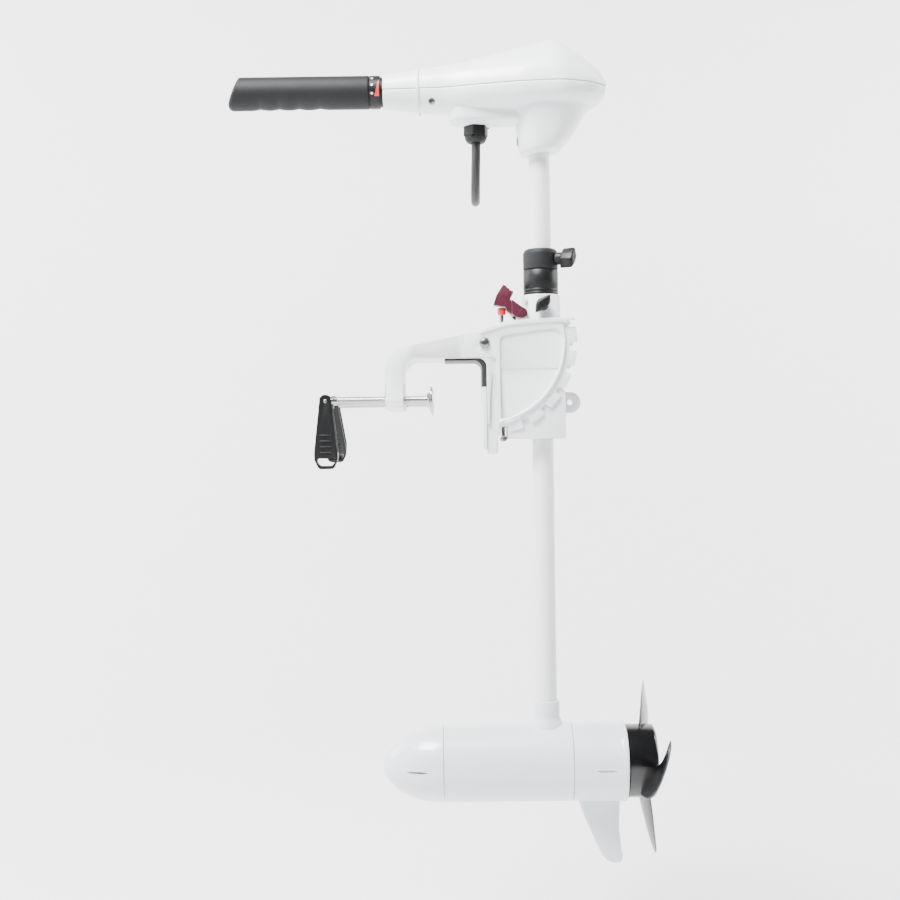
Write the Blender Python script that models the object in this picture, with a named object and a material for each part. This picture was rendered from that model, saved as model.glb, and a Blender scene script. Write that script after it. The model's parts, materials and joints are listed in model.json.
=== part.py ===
"""Transom-mount electric trolling motor, modelled in Blender 4.5.

Every dimension is in millimetres and is scaled to metres by MM when a mesh is made.
+Z is up, +X points aft (towards the propeller), -X forward (towards the tiller grip).
The origin is on the jaw face that rests on the transom, at the height of the clamp screws.
Each moving group hangs from an empty that stands on the axis of its joint.
"""

import math

import bmesh
import bpy
from mathutils import Matrix, Vector

MM = 0.001
GAP = 0.3
ROUND = 24
POD_SIDES = 32
NUT_SIDES = 12

# Shaft and steering column
SHAFT_X = 73.5
SHAFT_R = 12.7
SHAFT_WALL = 2.2
SHAFT_TOP = 349.0
SHAFT_FOOT = -388.0
BUSH_BORE = SHAFT_R + 0.25

# Clamp bracket
PIVOT_X = 3.8
PIVOT_Z = 67.4
CHEEK_IN = 26.3
CHEEK_WEB = 29.0
CHEEK_OUT = 31.5
TOOTH_R = 110.3
NOTCH_R = 102.0
RIM_R = 96.0
WINDOW_R = 93.0
NOTCH_FIRST = -12.3
NOTCH_STEP = 15.0
NOTCH_COUNT = 7
NOTCH_ROOT_HALF = 3.8
NOTCH_MOUTH_HALF = 5.2
FLANGE_DEEP = 4.7
JAW_FACE = 5.9
JAW_BACK = 18.0
JAW_FOOT = -64.0
ARM_UNDER = 49.5
ARM_HALF = 58.2
BOSS_R = 10.9
ARM_END = -114.0
LEG_INNER = -93.0

# Clamp screws
SCREW_Y = 48.0
SCREW_R = 5.0
SCREW_END = -190.0
PAD_FACE = -58.5
HANDLE_X = -184.0
HANDLE_TURN = 30.0

# Column between the cheeks
COLUMN_HALF = 25.6
COLUMN_FOOT = -47.0
COLUMN_TOP = 126.0
COLLAR_R = 23.0
SLEEVE_R = 21.0
SLEEVE_TOP = 156.4
DEPTH_FOOT = 156.9
DEPTH_TOP = 181.6
KNOB_Z = 113.0
DEPTH_KNOB_Z = 169.0
DEPTH_KNOB_TURN = -30.0

# Tilt lock
ROD_X = 25.8
ROD_R = 2.2
LOCK_PIN_R = 3.2
LOCK_PIN_Z = -46.5
LOCK_LIFT = 9.7
LEVER_X = 50.0
LEVER_Z = 103.0

# Head
SEAM = 373.6
TILLER_Z = 374.6
GRIP_R = 19.8
GRIP_TIP = -301.0
GRIP_SLANT_END = -283.0
GRIP_SLANT = 15.0
FINGER_HOLLOWS = [-263.0, -240.0, -216.0, -190.5]
FINGER_RIDGES = [-275.0, -251.0, -228.6, -203.0, -178.0]
FINGER_DEEP = 1.4
HEAD_FRONT = -114.0
HEAD_WALL = 3.0
GLAND_X = -2.5
SCREW_Z = 358.0
SKIRT_RISE = 5.0
GRIP_END = -130.0
RING_END = -117.0
TILLER_R = 12.0

# Motor pod
POD_Z = -437.4
POD_R = 46.5
POD_WALL = 3.2
NOSE_SEAM = -51.5
NOSE_LENGTH = 72.6
REAR_SEAM = 102.7
RING_X = 167.0
SPINDLE_R = 5.0
BOLT_Y = 39.6

# Propeller
PROP_R = 118.6
HUB_R = 43.6
HUB_FRONT = 168.0
HUB_BACK = 203.0
BLADES = 3
FIRST_BLADE = 50.0

# Power cable and its hank
CABLE_R = 5.5
FOLD_R = 33.0
HANK_HALF = 99.0
HANK_TALL = 33.0
HANK_AT = (-4.0, 81.0, 391.0)
HANK_YAW = 9.5
PLUG_START = HANK_HALF + CABLE_R
TIE_X = -72.0


# ---------------------------------------------------------------- scene helpers


def clear_scene():
    for old in list(bpy.data.objects):
        bpy.data.objects.remove(old)


def material(name, colour, roughness, metallic=0.0):
    made = bpy.data.materials.new(name)
    made.use_nodes = True
    shader = made.node_tree.nodes["Principled BSDF"]
    shader.inputs["Base Color"].default_value = (*colour, 1.0)
    shader.inputs["Roughness"].default_value = roughness
    shader.inputs["Metallic"].default_value = metallic
    return made


def body(name, pivot=(0.0, 0.0, 0.0), parent=None):
    """An empty on the joint's axis, which everything in that moving group hangs from."""
    empty = bpy.data.objects.new(name, None)
    bpy.context.collection.objects.link(empty)
    here = Vector(pivot) * MM
    if parent is not None:
        empty.parent = parent
        here -= parent.matrix_world.translation
    empty.location = here
    bpy.context.view_layer.update()
    return empty


def add_mesh(name, shape, group):
    """Make one object from a shape, given in world millimetres, and hang it from its group."""
    vertices, faces = shape
    mesh = bpy.data.meshes.new(name)
    work = bmesh.new()
    corners = [work.verts.new(Vector(v) * MM) for v in vertices]
    for face in faces:
        work.faces.new([corners[i] for i in face])
    bmesh.ops.recalc_face_normals(work, faces=work.faces)
    work.to_mesh(mesh)
    work.free()
    made = bpy.data.objects.new(name, mesh)
    bpy.context.collection.objects.link(made)
    made.parent = group
    made.location = -group.matrix_world.translation
    return made


def piece(name, group, finish, shape):
    made = add_mesh(name, shape, group)
    made.data.materials.append(finish)
    made.data.shade_smooth()
    made.data.set_sharp_from_angle(angle=math.radians(35.0))
    return made


def boolean(target, shape, operation):
    """Cut, join or intersect. The faces are split, so that none with a hole meets the next cut."""
    cutter = add_mesh(f"{target.name}_tool", shape, target.parent)
    cutter.hide_render = True
    cutter.display_type = "WIRE"
    modifier = target.modifiers.new(operation.title(), "BOOLEAN")
    modifier.operation = operation
    modifier.object = cutter
    target.modifiers.new("Split faces", "TRIANGULATE")


def cut(target, *shapes):
    for shape in shapes:
        boolean(target, shape, "DIFFERENCE")


def fuse(target, *shapes):
    for shape in shapes:
        boolean(target, shape, "UNION")


# ---------------------------------------------------------------- shape helpers
# A shape is a list of points and a list of faces, in world millimetres.


def frame_of(axis):
    """Two directions square to the axis and to each other."""
    along = Vector(axis).normalized()
    across = Vector((0, 1, 0)) if abs(along.y) < 0.9 else Vector((1, 0, 0))
    side = (across - along * across.dot(along)).normalized()
    return along, side, along.cross(side)


def turned(profile, origin, axis, segments=ROUND, hollow=False):
    """A profile of (radius, distance along the axis) spun about the axis.

    A hollow profile is a closed loop; any other one starts and ends on the axis.
    """
    along, side, up = frame_of(axis)
    centre = Vector(origin)
    points = []
    rings = []
    for radius, distance in profile:
        middle = centre + along * distance
        if radius == 0:
            rings.append([len(points)])
            points.append(middle)
            continue
        rings.append(list(range(len(points), len(points) + segments)))
        for i in range(segments):
            angle = 2 * math.pi * i / segments
            points.append(middle + (side * math.cos(angle) + up * math.sin(angle)) * radius)
    faces = []
    pairs = list(zip(rings, rings[1:]))
    if hollow:
        pairs.append((rings[-1], rings[0]))
    for low, high in pairs:
        for i in range(segments):
            j = (i + 1) % segments
            if len(low) == 1:
                faces.append((low[0], high[i], high[j]))
            elif len(high) == 1:
                faces.append((low[i], low[j], high[0]))
            else:
                faces.append((low[i], low[j], high[j], high[i]))
    return points, faces


def rod(radius, start, end, segments=ROUND):
    """A plain round bar from start to end."""
    length = (Vector(end) - Vector(start)).length
    profile = [(0, 0), (radius, 0), (radius, length), (0, length)]
    return turned(profile, start, Vector(end) - Vector(start), segments)


def pipe(outer, inner, start, end, segments=ROUND):
    """A plain round tube from start to end."""
    length = (Vector(end) - Vector(start)).length
    profile = [(outer, 0), (outer, length), (inner, length), (inner, 0)]
    return turned(profile, start, Vector(end) - Vector(start), segments, hollow=True)


def loft(rings):
    """Skin a row of rings that have the same number of points, with a flat cap at each end."""
    count = len(rings[0])
    points = [p for ring in rings for p in ring]
    faces = [tuple(range(count)), tuple(range(len(points) - count, len(points)))]
    for k in range(len(rings) - 1):
        for i in range(count):
            j = (i + 1) % count
            a, b = k * count, (k + 1) * count
            faces.append((a + i, a + j, b + j, b + i))
    return points, faces


def slab(outline, low, high, across="Y"):
    """An outline extruded from low to high along one axis.

    The outline's points are (X, Z) across Y, (X, Y) across Z and (Y, Z) across X.
    """
    place = {
        "X": lambda a, b, t: (t, a, b),
        "Y": lambda a, b, t: (a, t, b),
        "Z": lambda a, b, t: (a, b, t),
    }[across]
    return loft([[place(a, b, t) for a, b in outline] for t in (low, high)])


def box(low, high):
    corners = [(low[0], low[2]), (high[0], low[2]), (high[0], high[2]), (low[0], high[2])]
    return slab(corners, low[1], high[1])


def moved(shape, matrix):
    points, faces = shape
    return [matrix @ Vector(p) for p in points], faces


def arc(centre, radius, start, end, steps):
    """Points on a circle from one angle to another, in degrees."""
    return [
        (
            centre[0] + radius * math.cos(math.radians(start + (end - start) * k / steps)),
            centre[1] + radius * math.sin(math.radians(start + (end - start) * k / steps)),
        )
        for k in range(steps + 1)
    ]


def rounded_box(low, high, radius, steps=3):
    """The outline of a rectangle with round corners."""
    (a, b), (c, d) = low, high
    return (
        arc((c - radius, b + radius), radius, -90, 0, steps)
        + arc((c - radius, d - radius), radius, 0, 90, steps)
        + arc((a + radius, d - radius), radius, 90, 180, steps)
        + arc((a + radius, b + radius), radius, 180, 270, steps)
    )


def stadium(half_length, half_width, steps=8):
    """A straight-sided outline with round ends, lying along its first axis."""
    reach = half_length - half_width
    return arc((reach, 0), half_width, -90, 90, steps) + arc(
        (-reach, 0), half_width, 90, 270, steps
    )


def between(table, x):
    """Straight-line value of a table of (x, value) pairs."""
    for (x0, v0), (x1, v1) in zip(table, table[1:]):
        if x <= x1:
            return v0 + (v1 - v0) * (x - x0) / (x1 - x0)
    return table[-1][1]


# ---------------------------------------------------------------- clamp bracket


def sector_point(radius, below):
    """A point at an angle below the aft direction, about the tilt pivot."""
    angle = math.radians(-below)
    return PIVOT_X + radius * math.cos(angle), PIVOT_Z + radius * math.sin(angle)


def toothed_arc():
    """The toothed edge of a cheek, from under the top flange down to the jaw."""
    root_half = math.degrees(NOTCH_ROOT_HALF / NOTCH_R)
    mouth_half = math.degrees(NOTCH_MOUTH_HALF / TOOTH_R)
    edge = []
    for k in range(NOTCH_COUNT):
        middle = NOTCH_FIRST + NOTCH_STEP * k
        if k > 0:
            edge.append(sector_point(TOOTH_R, middle - mouth_half))
        edge.append(sector_point(NOTCH_R, middle - root_half))
        edge.append(sector_point(NOTCH_R, middle + root_half))
        edge.append(sector_point(TOOTH_R, middle + mouth_half))
        if k < NOTCH_COUNT - 1:
            edge.append(sector_point(TOOTH_R, middle + NOTCH_STEP / 2))
    return edge


CHEEK_TOP = [(-1, 83.0), (28, 92.0), (54, 94.6), (82, 96.0), (111, 96.0)]
CHEEK_ROOT = [(16.0, -43.5), (16.0, 51.0), (-25.0, 51.0), (-25.0, 76.0), (-21.5, 77.9)]


def cheek_outline():
    return [*CHEEK_TOP, (111, 91.5), *toothed_arc(), *CHEEK_ROOT]


def window_outline():
    """The recessed panel, bounded by the sector's raised rim."""
    rim = [sector_point(WINDOW_R, below) for below in (2, 14, 26, 38, 50, 62, 72, 77.5)]
    return [(22.0, 75.6), (57.0, 81.0), (90.5, 84.4), *rim]


def tooth_band():
    """The band outside the raised rim, where the cheek is as thin as its panel."""
    inner = [sector_point(RIM_R, below) for below in range(-14, 91, 8)]
    outer = [sector_point(TOOTH_R + 20, below) for below in (90, 60, 30, 10, -12)]
    return inner + outer


def raised_pin_slot():
    """Room under the top flange for the lock pin when the column lies level."""
    centre = (PIVOT_X - (LOCK_PIN_Z + LOCK_LIFT - PIVOT_Z), PIVOT_Z + ROD_X - PIVOT_X)
    reach = LOCK_PIN_R + 0.4
    low, high = centre[1] - reach, centre[1] + reach
    return [*arc(centre, reach, 90, 270, 6), (TOOTH_R + 20, low), (TOOTH_R + 20, high)]


def arm_profile():
    """The arm, its front leg, the floor under the tilt slot and the jaw, seen from the side."""
    inner = arc((LEG_INNER + 17, ARM_UNDER - 17), 17, 180, 90, 4)
    corner = arc((JAW_FACE - 9.9, ARM_UNDER - 9.9), 9.9, 90, 0, 4)
    jaw = [(JAW_FACE, JAW_FOOT), (JAW_BACK, JAW_FOOT), (JAW_BACK, 54.5), (-22.0, 54.5)]
    crown = [(-22.0, 78.1), (-97, 60.5), (-108, 54.0)]
    toe = [(ARM_END, 38.0), (ARM_END, -9.0), (LEG_INNER, -9.0)]
    return inner + corner + jaw + crown + toe


def tilt_slot():
    """The space between the cheeks that the column swings through."""
    left, back = -24.0, JAW_BACK - GAP
    return [(left, 53.5), (back, 53.5), (back, -200), (200, -200), (200, 200), (left, 200)]


def make_bracket(group):
    cast = piece("clamp_bracket", group, WHITE, slab(arm_profile(), -60, 60))
    narrow = CHEEK_OUT - GAP
    plan = [(-115, -ARM_HALF), (-84, -ARM_HALF), (-24, -narrow), (20, -narrow)]
    plan += [(x, -y) for x, y in reversed(plan)]
    boolean(cast, slab(plan, -90, 120, "Z"), "INTERSECT")
    cut(cast, box((-130, -37.3, -30), (-88, 37.3, 24)))
    for side in (-1, 1):
        fuse(cast, slab(cheek_outline(), side * 20.0, side * CHEEK_OUT))
        cut(cast, slab(tooth_band(), side * CHEEK_WEB, side * 45))
        cut(cast, slab(window_outline(), side * CHEEK_WEB, side * 40))
        low = [(x, z - FLANGE_DEEP) for x, z in reversed(CHEEK_TOP)]
        flange = [*((x - GAP, z + GAP) for x, z in CHEEK_TOP), *low]
        fuse(cast, slab(flange, side * 23.0, side * (CHEEK_OUT + 2.0)))
        draft = [(6.4, side * 31.8), (17.4, side * 31.8), (17.4, side * 27.8)]
        cut(cast, slab(draft, -80, 49.0, "Z"))
        cut(cast, slab(raised_pin_slot(), side * 20.0, side * 45.0))
        y = side * SCREW_Y
        fuse(cast, rod(BOSS_R, (ARM_END + 0.4, y, 0), (LEG_INNER + 0.4, y, 0)))
        cut(cast, rod(SCREW_R + 0.4, (-130, y, 0), (-80, y, 0), 20))
    cut(cast, slab(tilt_slot(), -CHEEK_IN, CHEEK_IN))
    cut(cast, rod(4.35, (PIVOT_X, -40, PIVOT_Z), (PIVOT_X, 40, PIVOT_Z), 20))


def make_jaw(group):
    grooves = [
        point
        for z in (-9.5, -36.0)
        for point in ((0.0, z + 0.8), (1.0, z), (0.0, z - 0.8))
    ]
    outline = [(5.6, 15.6), (0.0, 15.6), *grooves, (0.0, -57.0), (2.0, -59.0), (5.6, -59.0)]
    piece("jaw_pad", group, WHITE, slab(outline, -29.5, 29.5))
    face = arc((-9.3, 37.4), 9.5, 90, 0, 4)
    back = arc((JAW_FACE - 9.9, ARM_UNDER - 9.9), 9.6, 0, 90, 4)
    strip = [(-44, 46.9), *face, (0.2, 16.2), (5.6, 16.2), *back, (-44, 49.2)]
    piece("jaw_liner", group, RUBBER, slab(strip, -30.0, 30.0))


def make_pivot(group):
    far = CHEEK_OUT + 9.0
    profile = [(0, -4.0), (4.6, -4.0), (6.2, -2.6), (6.2, -GAP), (4.0, -GAP)]
    profile += [(4.0, far + CHEEK_OUT), (0, far + CHEEK_OUT)]
    bolt = turned(profile, (PIVOT_X, -CHEEK_OUT, PIVOT_Z), (0, 1, 0), 20)
    piece("pivot_bolt", group, STEEL, bolt)
    at = (PIVOT_X, CHEEK_OUT + GAP, PIVOT_Z)
    end = (PIVOT_X, CHEEK_OUT + 6.8, PIVOT_Z)
    piece("pivot_nut", group, STEEL, pipe(7.5, 4.3, at, end, NUT_SIDES))


# ---------------------------------------------------------------- clamp screws


def make_clamp(name, side, turn, slide, screw_body, fold):
    y = side * SCREW_Y
    outer = [(0, -6.5), (8.0, -6.5), (10.5, -2.6), (16.0, -2.6), (16.0, 0.0), (0, 0.0)]
    foot = piece(f"{name}_clamp_pad", slide, CHROME, turned(outer, (PAD_FACE, y, 0), (1, 0, 0)))
    cut(foot, rod(SCREW_R + 0.4, (PAD_FACE - 20, y, 0), (PAD_FACE - 2.2, y, 0), 20))

    tip = PAD_FACE - 2.6
    bar = piece(f"{name}_clamp_screw", screw_body, CHROME, rod(SCREW_R, (SCREW_END, y, 0), (tip, y, 0), 20))
    lean = Matrix.Translation((HANDLE_X, y, 0)) @ Matrix.Rotation(math.radians(turn), 4, "X")
    cut(bar, moved(rod(2.3, (0, -20, 0), (0, 20, 0), 12), lean))
    pin = moved(rod(2.0, (0, -8.6, 0), (0, 8.6, 0), 12), lean)
    piece(f"{name}_handle_pin", screw_body, STEEL, pin)

    half = 8.2
    outline = arc((0, 0), 7.6, 150, 30, 4) + [(13.7, -59.0), (13.7, -68.5), (8.5, -79.5)]
    outline += [(-8.5, -79.5), (-13.7, -68.5), (-13.7, -59.0)]
    paddle = piece(f"{name}_clamp_handle", fold, BLACK, moved(slab(outline, -half, half), lean))
    channel = [(-20, -12), (-10, -12), (-10, -60), (20, -60), (20, 20), (-20, 20)]
    cut(paddle, moved(slab(channel, -5.4, 5.4), lean))
    cut(paddle, moved(rod(2.35, (0, -20, 0), (0, 20, 0), 16), lean))
    cut(paddle, moved(slab(rounded_box((-10.4, -75.5), (10.4, -67.2), 3.5), -20, 20), lean))


# ---------------------------------------------------------------- column and tilt lock


def make_column(group):
    nose = arc((PIVOT_X, PIVOT_Z), 12.6, 90, 270, 8)
    outline = [(99.5, COLUMN_FOOT), (99.5, 8.0), (95.5, 14.0), (95.5, 89.0), (44, 88.0)]
    outline += [*nose, (19, 54.3), (30, 42.0), (30, COLUMN_FOOT)]
    cast = piece("swivel_column", group, WHITE, slab(outline, -COLUMN_HALF, COLUMN_HALF))
    fuse(cast, rod(COLLAR_R, (SHAFT_X, 0, 80), (SHAFT_X, 0, COLUMN_TOP), ROUND))
    fuse(cast, box((43.5, -15.4, 80), (62, 15.4, 108.5)))
    fuse(cast, box((19.7, -7, -4), (32, 7, 2)))
    fuse(cast, rod(12.8, (106.5, -5, -3.7), (106.5, 5, -3.7), 24))
    cut(cast, rod(3.4, (106.5, -12, -3.7), (106.5, 12, -3.7), 16))
    cut(cast, rod(15.2, (SHAFT_X, 0, -60), (SHAFT_X, 0, 140), ROUND))
    for side in (-1, 1):
        pocket = [(36, 18), (54, 18), (54, 78), (36, 76)]
        cut(cast, slab(pocket, side * 17, side * 40))
    cut(cast, rod(2.9, (ROD_X, 0, -20), (ROD_X, 0, 100), 16))
    cut(cast, rod(4.35, (PIVOT_X, -40, PIVOT_Z), (PIVOT_X, 40, PIVOT_Z), 20))
    cut(cast, rod(2.8, (LEVER_X, -30, LEVER_Z), (LEVER_X, 30, LEVER_Z), 16))
    cut(cast, rod(3.5, (SHAFT_X, -40, KNOB_Z), (SHAFT_X, 0, KNOB_Z), 16))


def make_bushings(group):
    foot = (SHAFT_X, 0, COLUMN_FOOT + 0.4)
    piece("lower_bushing", group, BLACK, pipe(14.9, BUSH_BORE, foot, (SHAFT_X, 0, -24)))
    ledge = COLUMN_TOP + GAP
    profile = [(14.9, 99.0), (14.9, ledge), (SLEEVE_R, ledge), (SLEEVE_R, SLEEVE_TOP)]
    profile += [(BUSH_BORE, SLEEVE_TOP), (BUSH_BORE, 99.0)]
    sleeve = turned(profile, (SHAFT_X, 0, 0), (0, 0, 1), ROUND, hollow=True)
    piece("column_sleeve", group, BLACK, sleeve)


def make_lever_pin(group):
    pin = rod(2.5, (LEVER_X, -19.6, LEVER_Z), (LEVER_X, 19.6, LEVER_Z), 14)
    piece("lever_pin", group, STEEL, pin)


def make_lock_spring(group):
    """A coil spring that stands on the column's guide and lifts the rod's collar."""
    turns, steps, sides = 6, 8, 4
    coil_r, wire_r = 3.3, 0.5
    low, high = 3.0, 25.2
    rings = []
    total = turns * steps
    for k in range(total + 1):
        angle = 2 * math.pi * k / steps
        outward = Vector((math.cos(angle), math.sin(angle), 0))
        centre = Vector((ROD_X, 0, low + (high - low) * k / total)) + outward * coil_r
        rings.append(
            [
                centre
                + outward * wire_r * math.cos(2 * math.pi * i / sides)
                + Vector((0, 0, wire_r * math.sin(2 * math.pi * i / sides)))
                for i in range(sides)
            ]
        )
    piece("lock_spring", group, STEEL, loft(rings))


def make_lock_rod(group):
    low, high = LOCK_PIN_Z - 2.0, 109.6
    profile = [(0, low), (ROD_R, low), (ROD_R, 26.2), (3.9, 26.2), (3.9, 28.2)]
    profile += [(ROD_R, 28.2), (ROD_R, high), (0, high)]
    bar = piece("lock_rod", group, STEEL, turned(profile, (ROD_X, 0, 0), (0, 0, 1), 14))
    ends = (ROD_X, -33.5, LOCK_PIN_Z), (ROD_X, 33.5, LOCK_PIN_Z)
    fuse(bar, rod(LOCK_PIN_R, *ends, 14))
    outer = [(0, 103.0), (4.7, 103.0), (4.8, 105.5), (5.4, 109.0), (5.0, 111.2), (0, 112.2)]
    cap = piece("lever_bushing", group, RED, turned(outer, (ROD_X, 0, 0), (0, 0, 1), 18))
    cut(cap, rod(ROD_R + GAP, (ROD_X, 0, 90), (ROD_X, 0, 110.2), 14))


def make_lever(group):
    outline = [(28, 140), (40, 129), (35.5, 121.5), (49, 111.5), (55.5, 107.5), (56.3, 101)]
    outline += [(51.5, 97.8), (43, 98.2), (31.8, 107.5), (30.6, 112.9), (15.4, 114.6)]
    outline += [(19, 126)]
    yoke = piece("tilt_lock_lever", group, MAROON, slab(outline, -20.4, 20.4))
    cut(yoke, box((39.5, -16.4, 80), (70, 16.4, 150)))
    for side in (-1, 1):
        low, high = sorted((side * 9.0, side * 30.0))
        cut(yoke, box((0, low, 80), (37.5, high, 150)))
    cut(yoke, rod(2.85, (LEVER_X, -30, LEVER_Z), (LEVER_X, 30, LEVER_Z), 16))


def wing_knob(name, group, seat, axis, tip, stem, reach, wing_turn):
    """A knob on a stud: the stud enters from the seat, the wing stands out at the far end."""
    along, side, up = frame_of(axis)
    origin = Vector(seat)
    hub = [(0, -tip), (3.0, -tip), (3.0, 0.6), (7.6, 0.6), (7.0, stem), (0, stem)]
    knob = piece(name, group, BLACK, turned(hub, origin, axis, 16))
    outline = [(-14, -2.5), (-4, -6.0), (6, -6.0), (14, 2.5), (4, 6.0), (-6, 6.0)]
    lean = math.radians(wing_turn)
    wide = side * math.cos(lean) + up * math.sin(lean)
    tall = up * math.cos(lean) - side * math.sin(lean)
    rings = [
        [origin + along * depth + wide * a + tall * b for a, b in outline]
        for depth in (stem - 2.0, reach)
    ]
    fuse(knob, loft(rings))


def make_depth_collar(group):
    low, high = (SHAFT_X, 0, DEPTH_FOOT), (SHAFT_X, 0, DEPTH_TOP)
    collar = piece("depth_collar", group, BLACK, pipe(SLEEVE_R, BUSH_BORE, low, high, ROUND))
    out = Matrix.Rotation(math.radians(DEPTH_KNOB_TURN), 3, "Z") @ Vector((1, 0, 0))
    centre = Vector((SHAFT_X, 0, DEPTH_KNOB_Z))
    cut(collar, rod(3.5, centre, centre + out * 40, 16))


# ---------------------------------------------------------------- shaft and pod


def make_shaft(group):
    inner = SHAFT_R - SHAFT_WALL
    foot, top = (SHAFT_X, 0, SHAFT_FOOT), (SHAFT_X, 0, SHAFT_TOP)
    tube = piece("shaft_tube", group, SHAFT_WHITE, pipe(SHAFT_R, inner, foot, top, ROUND))
    cut(tube, rod(3.3, (SHAFT_X - 30, 0, 313), (SHAFT_X + 30, 0, 313), 16))


def make_wires(group):
    """The flat twin lead that runs down the shaft into the pod."""
    outline = stadium(4.2, 2.4, 4)
    low, high = SHAFT_FOOT - 4.0, SHAFT_TOP - 1.0
    strip = [[(SHAFT_X + x, y + 6.1, z) for x, y in outline] for z in (low, high)]
    piece("motor_lead", group, RUBBER, loft(strip))


def make_motor_housing(group):
    front, back = NOSE_SEAM + 0.5, REAR_SEAM - 0.5
    bore, step = POD_R - POD_WALL, POD_R - 1.6
    solid = rod(POD_R, (front, 0, POD_Z), (back, 0, POD_Z), POD_SIDES)
    cast = piece("motor_housing", group, POD_PAINT, solid)
    foot = POD_Z + 20
    tower = [(0, foot), (19.5, foot), (19.5, -397), (17.0, -388), (15.7, -382)]
    tower += [(15.7, -364), (14.7, -363), (0, -363)]
    fuse(cast, turned(tower, (SHAFT_X, 0, 0), (0, 0, 1)))
    hollow = [(0, front - 5), (step, front - 5), (step, front + 2.5), (bore, front + 2.5)]
    hollow += [(bore, back - 2.5), (step, back - 2.5), (step, back + 5), (0, back + 5)]
    cut(cast, turned(hollow, (0, 0, POD_Z), (1, 0, 0), POD_SIDES))
    top, low = (SHAFT_X, 0, -350), (SHAFT_X, 0, POD_Z + 30)
    cut(cast, rod(SHAFT_R + 0.25, (SHAFT_X, 0, SHAFT_FOOT - GAP), top, ROUND))
    cut(cast, rod(9.5, low, (SHAFT_X, 0, -370), 20))


def nose_radius(distance, reach):
    """The nose's radius at a distance forward of its seam."""
    return reach * (1 - (distance / NOSE_LENGTH) ** 2) ** 0.48


def make_nose(group):
    steps = [NOSE_LENGTH * math.sin(math.radians(a)) for a in (0, 14, 28, 42, 55, 67, 77, 85)]
    outer = [(nose_radius(d, POD_R), NOSE_SEAM - d) for d in steps]
    inner = [(max(r - 3.0, 2.0), x) for r, x in outer[:-1]]
    spigot = POD_R - POD_WALL - 0.4
    lip = [(spigot, NOSE_SEAM), (spigot, NOSE_SEAM + 6.0), (spigot - 3, NOSE_SEAM + 6.0)]
    profile = [(0, NOSE_SEAM - NOSE_LENGTH), *reversed(outer), *lip]
    profile += [*inner[1:], (0, inner[-1][1] - 2.0)]
    piece("nose_cone", group, POD_PAINT, turned(profile, (0, 0, POD_Z), (1, 0, 0), POD_SIDES))


def skeg_outline():
    return [
        (109.0, POD_Z + -42.0),
        (112.0, -490.0),
        (125.0, -522.0),
        (138.0, -552.0),
        (144.5, -559.0),
        (152.5, -561.0),
        (160.0, -559.5),
        (163.3, -556.0),
        (161.0, -540.0),
        (159.0, -521.5),
        (160.0, -500.0),
        (161.5, POD_Z + -42.0),
    ]


def make_rear_housing(group):
    """The end bell: bearing wall, rear skirt with its thicker ring, and the skeg."""
    seat = POD_R - POD_WALL - 0.4
    profile = [
        (seat, REAR_SEAM - 6.0),
        (seat, REAR_SEAM),
        (POD_R, REAR_SEAM),
        (POD_R + 0.5, 140.0),
        (POD_R + 1.2, 160.5),
        (POD_R + 1.5, 161.5),
        (POD_R + 1.5, RING_X),
        (POD_R - 2.5, RING_X),
        (POD_R - 3.2, 118.0),
        (14.0, 118.0),
        (14.0, 124.0),
        (SPINDLE_R + 0.6, 124.0),
        (SPINDLE_R + 0.6, 119.5),
        (10.4, 119.5),
        (10.4, REAR_SEAM - 1.0),
        (36.0, REAR_SEAM - 1.0),
        (36.0, REAR_SEAM - 6.0),
    ]
    bell = turned(profile, (0, 0, POD_Z), (1, 0, 0), POD_SIDES, hollow=True)
    cast = piece("rear_housing", group, POD_PAINT, bell)
    outline = skeg_outline()
    root, tip = outline[0][1], min(z for _, z in outline)
    sheet = []
    for side in (-1, 1):
        ring = []
        for x, z in outline:
            fall = (root - z) / (root - tip)
            ring.append((x, side * (3.4 - 2.0 * fall), z))
        sheet.append(ring)
    fuse(cast, loft(sheet))
    for side in (-1, 1):
        cut(cast, rod(2.5, (90, side * BOLT_Y, POD_Z), (126, side * BOLT_Y, POD_Z), 12))


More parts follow.
